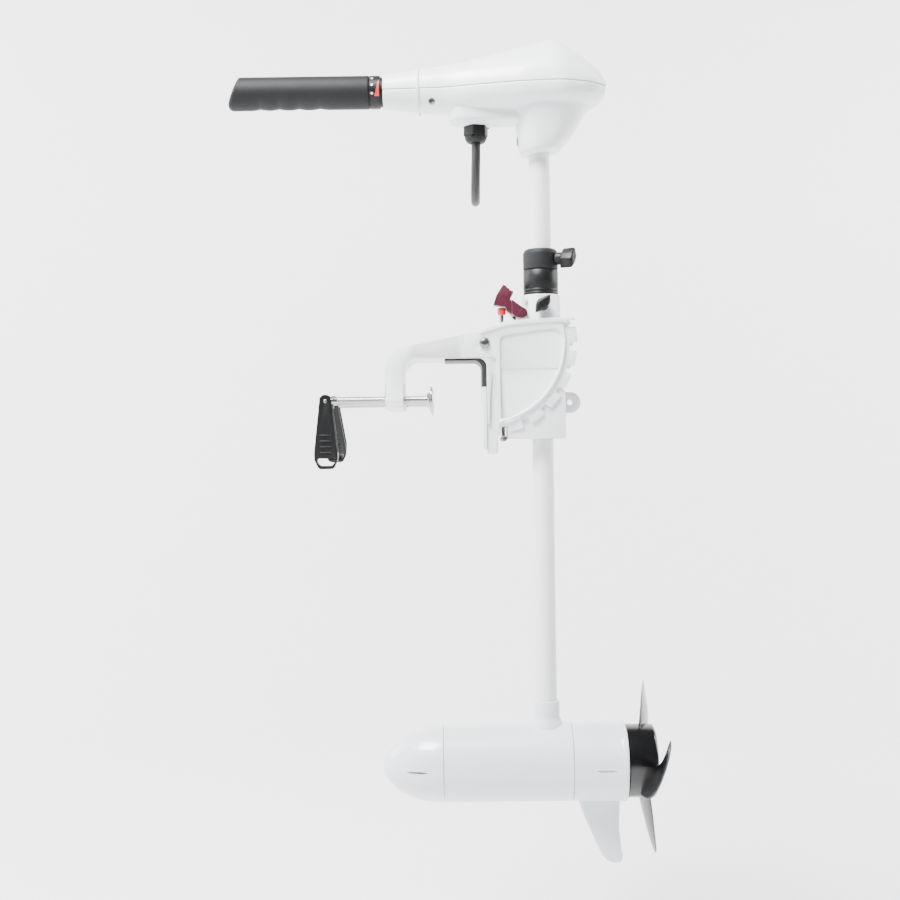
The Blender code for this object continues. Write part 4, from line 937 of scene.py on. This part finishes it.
def wing_knob(name, body, seat, axis, tip, stem, reach, wing_turn):
    """A knob on a stud, with a lozenge wing that has rounded points and three ribs."""
    along, side, up = frame_of(axis)
    origin = Vector(seat)
    hub = [(0, -tip), (3.0, -tip), (3.0, 0.6), (7.6, 0.6), (7.8, 2.0), (7.0, stem), (0, stem)]
    knob = raw_object(f"{name}_skin", turned(rounded(hub, 0.5), origin, axis, 48))
    outline = [(-14, -2.5), (-4, -6.0), (6, -6.0), (14, 2.5), (4, 6.0), (-6, 6.0)]
    outline = rounded(outline, 2.6, 4, True)
    lean = math.radians(wing_turn)
    wide = side * math.cos(lean) + up * math.sin(lean)
    tall = up * math.cos(lean) - side * math.sin(lean)
    rings = []
    top = reach - 1.0
    for depth, share in (
        (stem - 2.0, 0.80),
        (stem - 1.4, 0.93),
        (stem - 0.6, 1.0),
        (top - 3.0, 1.0),
        (top - 1.2, 0.92),
        (top - 0.4, 0.80),
        (top, 0.62),
    ):
        line = [(a * share, b * share) for a, b in outline]
        rings.append([origin + along * depth + wide * a + tall * b for a, b in line])
    ribs = []
    for k in (-1, 0, 1):
        middle = origin + wide * (k * 4.6) + along * (top - 0.3)
        ribs.append(rod(0.9, middle - tall * 3.4, middle + tall * 3.4, 16, 0.6))
    carve(knob, (), [loft(rings), *ribs])
    dress(knob, body, "black_plastic", (name,))


def make_depth_collar():
    low, high, radius = 156.9, 181.6, 21.0
    profile = [(radius - 0.8, low), (radius, low + 0.8), (radius, high - 5.0), (radius - 1.0, high - 2.2)]
    profile += [(radius - 3.2, high), (12.95, high), (12.95, low)]
    collar = upright(rounded(profile, 0.8, 3, True), SHAFT_X, hollow=True)
    out = Matrix.Rotation(math.radians(-30), 3, "Z") @ Vector((1, 0, 0))
    centre = Vector((SHAFT_X, 0, DEPTH_KNOB_Z))
    hole = rod(3.5, centre, centre + out * 40, 32, 0)
    make("depth_collar_skin", collar, "collar", "grip_rubber", ("depth_collar",), cuts=[hole])
    seat = centre + out * (radius + 0.2)
    wing_knob("depth_knob", "depth_knob", seat, out, 7.6, 9.0, 25.0, 60)


make_column()
make_bushings()
make_lock()
make_lever()
steering_seat = (SHAFT_X, -COLLAR_R, STEERING_KNOB_Z)
wing_knob("steering_knob", "steering_knob", steering_seat, (0, -1, 0), 7.4, 7.5, 17.5, 40)
make_depth_collar()

# ---------------------------------------------------------------- shaft and pod

SHAFT_R = 12.7
POD_Z = -437.4
POD_R = 46.5
NOSE_SEAM, NOSE_LENGTH, REAR_SEAM, RING_X = -51.5, 72.6, 102.7, 167.0
NOSE_POWER = 0.48
SLOT_Z = POD_Z - 1.6
SKEG_TOP = POD_Z - 40.0
SKEG_SECTION = [(0, 0), (0.03, 0.5), (0.09, 0.8), (0.2, 0.97), (0.4, 1.0), (0.7, 0.86), (0.95, 0.42)]
SKEG_SECTION += [(1, 0.25)]
SPINDLE_R = 5.0
POD_FINE = 160


def make_shaft():
    profile = [(SHAFT_R, -388.0), (SHAFT_R, 349.0), (10.5, 349.0), (10.5, -388.0)]
    tube = upright(rounded(profile, 0.4, 3, True), SHAFT_X, hollow=True)
    make("shaft_skin", tube, "shaft", "shaft_white", ("shaft_tube",))


def make_motor_housing():
    front, back = NOSE_SEAM + 0.5, REAR_SEAM - 0.5
    profile = [(0, front), (POD_R - 0.7, front), (POD_R, front + 0.7), (POD_R, back - 0.7)]
    profile += [(POD_R - 0.7, back), (0, back)]
    cast = raw_object("motor_housing_skin", lengthwise(profile, POD_Z, POD_FINE))
    tower = [(0, POD_Z + 20), (20.5, POD_Z + 20), (20.3, -396.0), (19.2, -392.0), (17.4, -387.0)]
    tower += [(15.9, -382.5), (15.8, -381), (15.8, -364.4), (15.5, -363.4), (14.7, -363), (0, -363)]
    bore = rod(SHAFT_R + 0.25, (SHAFT_X, 0, -388.3), (SHAFT_X, 0, -350), 96, 0)
    carve(cast, [bore], [upright(tower, SHAFT_X)])
    dress(cast, "shaft", "pod_paint", ("motor_housing",), 30)


def lens_slot(x, z, half, bulge, side, low, high):
    """A shallow slot with pointed ends, cut into the side of the pod."""
    outline = []
    for k in range(17):
        t = -1 + 2 * k / 16
        outline.append((x + half * t, z + bulge * (1 - t * t)))
    for k in range(1, 16):
        t = 1 - 2 * k / 16
        outline.append((x + half * t, z - bulge * (1 - t * t)))
    return slab(outline, side * low, side * high)


def make_nose():
    """The nose, with a shallow slot on each side."""
    steps = [NOSE_LENGTH * math.sin(math.radians(90 * k / 40)) for k in range(40)]
    outer = [(POD_R * (1 - (d / NOSE_LENGTH) ** 2) ** NOSE_POWER, NOSE_SEAM - d) for d in steps[1:]]
    seam = [(POD_R, NOSE_SEAM - 0.7), (POD_R - 0.7, NOSE_SEAM), (0, NOSE_SEAM)]
    profile = [(0, NOSE_SEAM - NOSE_LENGTH), *reversed(outer), *seam]
    nose = lengthwise(profile, POD_Z, POD_FINE)
    slots = [lens_slot(-82.5, SLOT_Z, 14.0, 1.5, side, 36.0, 60.0) for side in SIDES]
    make("nose_skin", nose, "shaft", "pod_paint", ("nose_cone",), cuts=slots, sharp=30)


def skeg_outline():
    lead = [(109.0, SKEG_TOP), (112.0, -490.0), (118.0, -507.0), (125.0, -522.5), (132.0, -539.0)]
    tip = [(138.0, -551.0), (144.5, -558.5), (152.5, -561.0), (160.0, -559.8), (163.3, -556.0)]
    trail = [(161.5, -543.0), (159.2, -521.5), (159.4, -508.0), (160.2, -495.0), (161.5, SKEG_TOP)]
    return lead, tip, trail


def skeg():
    """The fin: a rounded leading edge, a flat middle and a thin trailing edge."""
    lead, tip, trail = skeg_outline()
    front, back = lead + tip[:3], [*tip[3:], *trail]
    top, foot = SKEG_TOP, -561.0
    rows = []
    for k in range(49):
        z = top + (foot + 0.4 - top) * k / 48
        left = edge_at(front, z)
        right = edge_at(list(reversed(back)), z)
        fall = (top - z) / (top - foot)
        half = 3.5 - 2.1 * fall
        row = []
        for s, w in SKEG_SECTION:
            row.append((left + (right - left) * s, -half * w, z))
        row += [(x, -y, zz) for x, y, zz in reversed(row[1:])]
        rows.append(row)
    return loft(rows)


def edge_at(line, z):
    """Where a line that runs downwards crosses a height."""
    for (x0, z0), (x1, z1) in zip(line, line[1:]):
        if z >= z1:
            return x0 + (x1 - x0) * (z0 - z) / max(1e-6, z0 - z1)
    return line[-1][0]


def make_rear_housing():
    profile = [
        (0, REAR_SEAM),
        (POD_R - 0.7, REAR_SEAM),
        (POD_R, REAR_SEAM + 0.7),
        (POD_R + 0.5, 140.0),
        (POD_R + 1.0, 159.5),
        (POD_R + 1.2, 160.5),
        (POD_R + 1.5, 161.5),
        (POD_R + 1.5, RING_X - 0.9),
        (POD_R + 0.6, RING_X),
        (POD_R - 1.8, RING_X),
        (POD_R - 2.6, RING_X - 0.8),
        (POD_R - 3.2, 118.0),
        (14.0, 118.0),
        (14.0, 124.0),
        (SPINDLE_R + 0.6, 124.0),
        (SPINDLE_R + 0.6, 119.5),
        (0, 119.5),
    ]
    cast = raw_object("rear_housing_skin", lengthwise(profile, POD_Z, POD_FINE))
    slots = [lens_slot(140.5, SLOT_Z, 12.5, 1.5, side, 45.2, 60.0) for side in SIDES]
    carve(cast, slots, [skeg()])
    dress(cast, "shaft", "pod_paint", ("rear_housing",), 30)


make_shaft()
make_motor_housing()
make_nose()
make_rear_housing()

# ---------------------------------------------------------------- propeller

PROP_R, HUB_R = 118.6, 43.6
HUB_FRONT, HUB_BACK = 168.0, 203.0
FIRST_BLADE = 50.0


def blade(tip_angle):
    """One swept blade: thin lens sections, lofted outwards to a pointed tip."""
    sections = []
    inner, steps, around = HUB_R - 2.5, 48, 40
    for k in range(steps + 1):
        out = (k / steps) ** 0.85
        radius = inner + (PROP_R - inner) * out
        chord = 8 + 42 * math.sin(math.pi * min(1.0, 0.30 + 0.64 * out)) ** 0.8
        tip = max(0.0, (out - 0.9) / 0.1)
        chord *= math.sqrt(max(0.02, 1 - 0.75 * tip**2))
        pitch = math.radians(22 - 14 * out)
        sweep = math.radians(tip_angle - 46 * (1 - out) ** 1.25)
        rake = 190 + 15 * out
        thick = (2.6 - 1.8 * out) * (1 - 0.6 * tip**3)
        ring = []
        for i in range(around):
            turn = 2 * math.pi * i / around
            along = chord / 2 * math.cos(turn)
            lift = thick * math.sin(turn)
            x = rake + along * math.sin(pitch) + lift * math.cos(pitch)
            tangent = along * math.cos(pitch) - lift * math.sin(pitch)
            angle = sweep + tangent / radius
            ring.append((x, radius * math.sin(angle), POD_Z + radius * math.cos(angle)))
        sections.append(ring)
    return loft(sections)


def make_propeller():
    profile = [
        (HUB_R - 0.8, HUB_FRONT),
        (HUB_R, HUB_FRONT + 0.8),
        (HUB_R, 198.5),
        (HUB_R - 0.5, 200.2),
        (HUB_R - 1.5, 201.5),
        (HUB_R - 2.9, 202.5),
        (HUB_R - 4.6, HUB_BACK),
        (14.5, HUB_BACK),
        (13.5, 202.2),
        (12.0, 198.0),
        (SPINDLE_R + 0.3, 198.0),
        (SPINDLE_R + 0.3, 172.0),
        (13.0, 172.0),
        (13.0, 194.0),
        (HUB_R - 3.4, 192.0),
        (HUB_R - 3.4, HUB_FRONT),
    ]
    hub = raw_object("propeller_skin", lengthwise(profile, POD_Z, POD_FINE, hollow=True))
    blades = [blade(FIRST_BLADE + 120 * k) for k in range(3)]
    pin = crossbar(2.4, 178, POD_Z, 10.8, 24)
    carve(hub, (), blades)
    carve(hub, [pin])
    dress(hub, "rotor", "propeller_black", ("propeller",), 30)


make_propeller()

# ---------------------------------------------------------------- head

SEAM, TILLER_Z, TILLER_R, GLAND_X = 373.6, 374.6, 12.0, -2.5
HEAD_FRONT, HEAD_BACK = -114.0, 153.5
HALF_WIDTH = [(-114, 18.5), (-36, 25), (6, 37), (52, 48), (95, 52), (104, 51.2), (130, 42)]
HALF_WIDTH += [(145, 31), (153.5, 20)]
HEAD_TOP = [(-114, 395), (-64, 402), (-12, 410), (29, 419.5), (83, 434), (92.6, 435)]
HEAD_TOP += [(101.5, 432), (143, 401), (151, 391), (153.5, 383)]
HEAD_BOTTOM = [(-114, 354.5), (-35, 346.5), (112, 346.5), (131, 349.5), (145, 356.5)]
HEAD_BOTTOM += [(153.5, 366)]
SCREW_X, SCREW_Z, SCREW_HEAD_Y, SCREW_SEAT_Y = -55, 358.0, 19.3, 16.8
BORE_GAP = 0.35
VOXEL = 1.1
SKIRT_RISE = 5.0


def head_ring(x, reach, height, power, steps=72):
    """An arch over the seam line whose lower edges turn in a little at the seam."""
    ring = []
    lift = 0.2 if height > 0 else -0.2
    for k in range(steps + 1):
        turn = math.pi * (0.5 - 0.5 * math.cos(math.pi * k / steps))
        c, s = math.cos(turn), math.sin(turn)
        up = abs(height) * abs(s) ** (2 / power)
        turn_in = 0.3 * max(0.0, 1 - up / 0.9) ** 2
        y = math.copysign(max(0.1, abs(c) ** (2 / power) * reach - turn_in), c)
        ring.append((x, y, SEAM + math.copysign(up, height) + lift))
    return ring


def head_half(edge, power_front, power_back):
    """One half of the head, lofted along its length, with rounded ends."""
    stations = [HEAD_FRONT + d for d in (0, 0.2, 0.6, 1.2)]
    stations += [HEAD_FRONT + 2 + (HEAD_BACK - 6 - HEAD_FRONT - 2) * k / 110 for k in range(111)]
    stations += [HEAD_BACK - d for d in (4.5, 3.2, 2.1, 1.2, 0.5, 0.1)]
    rings = []
    for x in stations:
        share = (x - HEAD_FRONT) / (HEAD_BACK - HEAD_FRONT)
        power = power_front + (power_back - power_front) * min(1.0, share * 1.6)
        near_front = max(0.0, 1 - (x - HEAD_FRONT) / 1.2)
        inset = 1.0 * near_front**2
        near_back = max(0.0, 1 - (HEAD_BACK - x) / 4.5)
        inset += 3.5 * (1 - math.sqrt(max(0.0, 1 - near_back**2)))
        crisp = 2.0 if 85 < x < 120 else 6.0
        height = eased(edge, x, 5.0) - SEAM
        height -= math.copysign(inset, height)
        rings.append(head_ring(x, eased(HALF_WIDTH, x, crisp) - inset, height, power))
    return loft(rings)


def skirt():
    """The socket under the head that takes the shaft."""
    levels = [
        (356, 42.0, 138, 40),
        (346, 43.4, 130, 36.5),
        (334, 45.6, 123.5, 33),
        (322, 47.0, 115.5, 30.9),
        (310, 48.3, 107.4, 28.7),
        (301, 49.6, 101.6, 27),
        (298.2, 50.6, 100.2, 26),
        (296.2, 52.3, 98.6, 24.5),
        (295.0, 54.6, 96.6, 22.6),
        (294.5, 57.6, 94.0, 20),
    ]
    rings = []
    for z, left, right, half in levels:
        middle, reach = (left + right) / 2, (right - left) / 2
        ring = []
        for k in range(96):
            turn = 2 * math.pi * k / 96
            c, s = math.cos(turn), math.sin(turn)
            x = middle + reach * math.copysign(abs(c) ** 0.8, c)
            rise = SKIRT_RISE * (x - left) / (right - left) if z < 302 else 0.0
            ring.append((x, half * math.copysign(abs(s) ** 0.8, s), z + rise))
        rings.append(ring)
    return loft(rings)


def gland_plate():
    """The tongue under the head that carries the cable gland."""
    rings = []
    levels = [(334.5, 4.5), (334.9, 3.0), (335.7, 1.6), (337.0, 0.6), (339.0, 0.0), (350.0, -0.6)]
    for z, inset in levels:
        corner = 12 - inset / 2
        round_end = arc((-35 + corner + inset, 0), 1, 90, 270, 24)
        half = 21 - inset
        ring = []
        for c, s in ((x - (-35 + corner + inset), y) for x, y in round_end):
            ring.append((-35 + inset + (corner + 6) * (1 + c), half * math.copysign(abs(s) ** 0.7, s), z))
        ring += [(58, -half, z), (58, half, z)]
        rings.append(ring)
    return loft(rings)


def tiller_hole():
    return rod(TILLER_R + BORE_GAP, (-130, 0, TILLER_Z), (-100, 0, TILLER_Z), FINE, 0)


def make_head_lower():
    """The lower half: belly, shaft socket and gland plate grown together as one moulding."""
    cast = raw_object("head_lower_skin", head_half(HEAD_BOTTOM, 2.1, 2.6))
    boss = [(0, 331.5), (15.0, 331.5), (16.3, 332.2), (16.6, 333.5), (16.8, 345), (0, 345)]
    carve(cast, (), [skirt(), gland_plate(), upright(boss, GLAND_X, FINE)])
    remesh = cast.modifiers.new("Grown", "REMESH")
    remesh.mode = "VOXEL"
    remesh.voxel_size = VOXEL * MM
    smooth = cast.modifiers.new("Blend", "SMOOTH")
    smooth.factor = 0.6
    smooth.iterations = 6
    settle(cast)
    cuts = [
        rod(SHAFT_R + 0.3, (SHAFT_X, 0, 280), (SHAFT_X, 0, 372), 96, 0),
        rod(9.0, (GLAND_X, 0, 320), (GLAND_X, 0, 365), 48, 0),
        tiller_hole(),
        rod(5.6, (30, 0, 313), (51.5, 0, 313), 40, 0),
    ]
    for side in SIDES:
        recess = [(0, 0), (3.9, 0), (4.1, 3.6), (4.9, 5.2), (6.5, 9.0), (0, 9.0)]
        cuts.append(turned(recess, (SCREW_X, side * SCREW_SEAT_Y, SCREW_Z), (0, side, 0), 48))
    carve(cast, cuts)
    dress(cast, "shaft", "cool_white", ("head_lower_housing",), 40)


def make_head_cover():
    cover = head_half(HEAD_TOP, 2.0, 1.72)
    hole = tiller_hole()
    make("head_cover_skin", cover, "shaft", "cool_white", ("head_cover",), cuts=[hole], sharp=30)


def make_gland():
    """The cable gland: a hexagonal body against the boss, and its domed nut."""
    top = 331.2
    corners = [(GLAND_X + x, y) for x, y in arc((0, 0), 15.6, 15, 315, 5)]
    outline = rounded(corners, 1.6, 4, True)
    body = slab(outline, 319.4, top, "Z", 0.8)
    bore = rod(8.7, (GLAND_X, 0, 310), (GLAND_X, 0, 340), 48, 0)
    neck = pipe(8.7, 6.2, (GLAND_X, 0, 319.4), (GLAND_X, 0, 342), 48, 0.4)
    made = raw_object("gland_body_skin", body)
    carve(made, [bore])
    carve(made, (), [neck])
    dress(made, "shaft", "black_plastic", ("gland_body",))
    dome = [(13.4, 319.2), (13.5, 318.0), (13.0, 315.8), (11.6, 313.4), (9.9, 311.8), (8.6, 311.2)]
    dome += [(6.4, 311.2), (5.9, 311.9), (5.9, 319.2)]
    nut = upright(rounded(dome, 0.5, 3, True), GLAND_X, hollow=True)
    grooves = []
    for k in range(12):
        turn = math.radians(30 * k + 15)
        at = Vector((GLAND_X + 14.6 * math.cos(turn), 14.6 * math.sin(turn), 0))
        grooves.append(rod(1.9, at + Vector((0, 0, 309)), at + Vector((0, 0, 321)), 24, 0))
    make("gland_nut_skin", nut, "shaft", "black_plastic", ("gland_nut",), cuts=grooves)


def make_head_screws():
    """The cover screws in their recesses, each with a cross in its head."""
    profile = [(0, 0.4), (1.6, 0.25), (2.9, -0.1), (3.6, 0.7), (3.6, 2.2), (1.8, 2.4), (1.8, 7.0)]
    profile.append((0, 7.0))
    for name, side in (("left", -1), ("right", 1)):
        at = (SCREW_X, side * SCREW_HEAD_Y, SCREW_Z)
        screw = turned(profile, at, (0, -side, 0), 40)
        cross = []
        for wide, tall in ((2.2, 0.45), (0.45, 2.2)):
            low, high = sorted((side * 18.2, side * 21.2))
            corner = (SCREW_X - wide, low, SCREW_Z - tall)
            cross.append(box(corner, (SCREW_X + wide, high, SCREW_Z + tall)))
        make(f"{name}_cover_screw_skin", screw, "shaft", "steel", (f"{name}_cover_screw",), cuts=cross)


make_head_lower()
make_head_cover()
make_gland()
make_head_screws()

# ---------------------------------------------------------------- tiller

GRIP_R, GRIP_TIP, GRIP_END, RING_END = 19.8, -301.0, -130.0, -117.0
FINGER_HOLLOWS = [-263.0, -240.0, -216.0, -190.5]
FINGER_REACH, FINGER_DEEP = 10.5, 1.7
TIP_ROUND, SLANT, SLANT_REACH = 6.0, 13.0, 60.0
SPEED_MARKS, FIRST_SPEED, SPEED_STEP = 9, -17, 30


def grip_radius(x, up):
    """The grip's radius: a finger hollow is a smooth dip along the underside."""
    dip = sum(max(0.0, 1 - abs(x - hollow) / FINGER_REACH) ** 1.5 for hollow in FINGER_HOLLOWS)
    under = max(0.0, -up - 0.35) / 0.65
    return GRIP_R - FINGER_DEEP * dip * under**1.4


def make_grip():
    """The twist grip, with its slanted and rounded outer end."""
    sides, length = 96, GRIP_END - GRIP_TIP
    rings = []
    steps = 150
    for k in range(steps + 1):
        flat = (k / steps) ** 1.3
        x = GRIP_TIP + length * flat
        near = GRIP_END - x
        shrink = 0.0
        if x - GRIP_TIP < TIP_ROUND:
            shrink = TIP_ROUND * (1 - math.sqrt(max(0.0, 1 - (1 - (x - GRIP_TIP) / TIP_ROUND) ** 2)))
        if near < 1.0:
            shrink = 1.0 - math.sqrt(max(0.0, 1 - (1 - near) ** 2))
        slant = SLANT * max(0.0, 1 - (x - GRIP_TIP) / SLANT_REACH) ** 3
        ring = []
        for i in range(sides):
            turn = 2 * math.pi * i / sides
            up = math.sin(turn)
            r = grip_radius(x, up) - shrink
            ring.append((x + slant * (1 + up) / 2, r * math.cos(turn), TILLER_Z + r * up))
        rings.append(ring)
    grip = raw_object("grip_skin", loft(rings))
    bore = rod(TILLER_R + BORE_GAP, (-283.4, 0, TILLER_Z), (GRIP_END + 10, 0, TILLER_Z), 64, 0)
    carve(grip, [bore])
    dress(grip, "grip", "grip_rubber", ("throttle_grip",), 45)


def ring_point(x, radius, angle):
    """A point on the speed ring at an angle above the near side's middle."""
    turn = math.radians(angle)
    return x, -radius * math.cos(turn), TILLER_Z + radius * math.sin(turn)


def ring_patch(outline, low, high):
    """A thin raised mark on the ring. The outline holds (x, angle) pairs."""
    rings = []
    for radius in (low, high):
        rings.append([ring_point(x, radius, angle) for x, angle in outline])
    return loft(rings)


def ring_band(edges, low, high):
    """A raised mark that runs round the ring. The edges are rows of (angle, left x, right x)."""
    rings = []
    for angle, left, right in edges:
        corners = ((left, low), (right, low), (right, high), (left, high))
        rings.append([ring_point(*corner, angle) for corner in corners])
    return loft(rings)


def make_ring():
    """The black speed ring, with a dot and a red tick for each speed, and a red wedge."""
    front, bore, back = GRIP_END + 0.3, TILLER_R + 0.3, HEAD_FRONT - 0.3
    outer = 19.6
    base = outer - 0.2
    profile = [(outer - 0.5, front), (outer, front + 0.5), (outer, RING_END - 0.6), (outer - 0.6, RING_END)]
    profile += [(17.9, RING_END), (17.6, RING_END + 0.3), (17.6, back - 0.4), (17.2, back)]
    profile += [(bore, back), (bore, front)]
    ring = lengthwise(profile, TILLER_Z, hollow=True)
    make("speed_ring_skin", ring, "tiller", "black_plastic", ("speed_ring",))
    for k in range(SPEED_MARKS):
        angle = FIRST_SPEED + SPEED_STEP * k
        dot = []
        for x, t in arc((-126.5, 0), 1.45, 0, 345, 23):
            dot.append((x, angle + math.degrees(t / outer)))
        make(f"speed_dot_{k}", ring_patch(dot, base, outer + 0.12), "tiller", "mark_white")
        edges = [(at, -129.2, -128.5) for at in (angle - 2.5, angle + 2.5)]
        make(f"speed_tick_{k}", ring_band(edges, base, outer + 0.1), "tiller", "bushing_red")
    wedge = [(a, -123.8 + 5.2 * (a + 27) / 60, -118.0) for a in range(-27, 34, 4)]
    make("speed_wedge", ring_band(wedge, base, outer + 0.1), "tiller", "bushing_red")


def make_tiller():
    profile = [(TILLER_R, -283.0), (TILLER_R, 60.0), (9.4, 60.0), (9.4, -283.0)]
    tube = lengthwise(rounded(profile, 0.4, 3, True), TILLER_Z, FINE, hollow=True)
    make("tiller_tube_skin", tube, "tiller", "tube_aluminium", ("tiller_tube",))


make_grip()
make_ring()
make_tiller()

# ---------------------------------------------------------------- floor and light

FLOOR_Z = -0.78
KEY_POWER, FILL_POWER, WASH_POWER, WORLD_STRENGTH = 520, 45, 260, 0.30


def make_stage():
    """A pale floor that sweeps up into a backdrop."""
    half, front, back, rise, bend = 6.0, -4.0, 3.2, 4.5, 1.6
    line = [(front, FLOOR_Z), (0.0, FLOOR_Z)]
    line += [(back - bend + y, FLOOR_Z + bend + z) for y, z in arc((0, 0), bend, -90, 0, 24)]
    line += [(back, FLOOR_Z + rise)]
    rings = [[(x, y, z) for y, z in line] for x in (-half, half)]
    count = len(line)
    faces = [(i, i + 1, count + i + 1, count + i) for i in range(count - 1)]
    points = [Vector(p) / MM for ring in rings for p in ring]
    floor = raw_object("backdrop", (points, faces))
    floor.data.shade_smooth()
    floor.data.materials.append(
        finish("backdrop_paper", (0.85, 0.85, 0.85), 0.9, grain=300, bump=0.02, vary=0.004, speck=0.0)
    )


def area_light(name, place, aim, size, power, colour=(1.0, 1.0, 1.0)):
    light = bpy.data.lights.new(name, "AREA")
    light.shape = "RECTANGLE"
    light.size, light.size_y = size
    light.energy = power
    light.color = colour
    lamp = bpy.data.objects.new(name, light)
    lamp.location = place
    lamp.rotation_euler = (Vector(aim) - Vector(place)).to_track_quat("-Z", "Y").to_euler()
    bpy.context.scene.collection.objects.link(lamp)


make_stage()
area_light("key", (-1.1, -1.35, 2.7), (0.0, 0.0, 0.0), (1.3, 1.3), KEY_POWER)
area_light("fill", (-2.6, -1.6, 0.3), (0.0, 0.0, -0.1), (1.0, 2.4), FILL_POWER, (0.94, 0.97, 1.0))
for name, x in (("backdrop_wash_left", -3.0), ("backdrop_wash_right", 3.0)):
    area_light(name, (x, 0.9, 1.4), (0.0, 3.2, 0.8), (2.0, 3.0), WASH_POWER)

world = bpy.data.worlds.new("studio")
world.use_nodes = True
world.node_tree.nodes["Background"].inputs["Color"].default_value = (0.92, 0.96, 1.0, 1)
world.node_tree.nodes["Background"].inputs["Strength"].default_value = WORLD_STRENGTH
bpy.context.scene.world = world
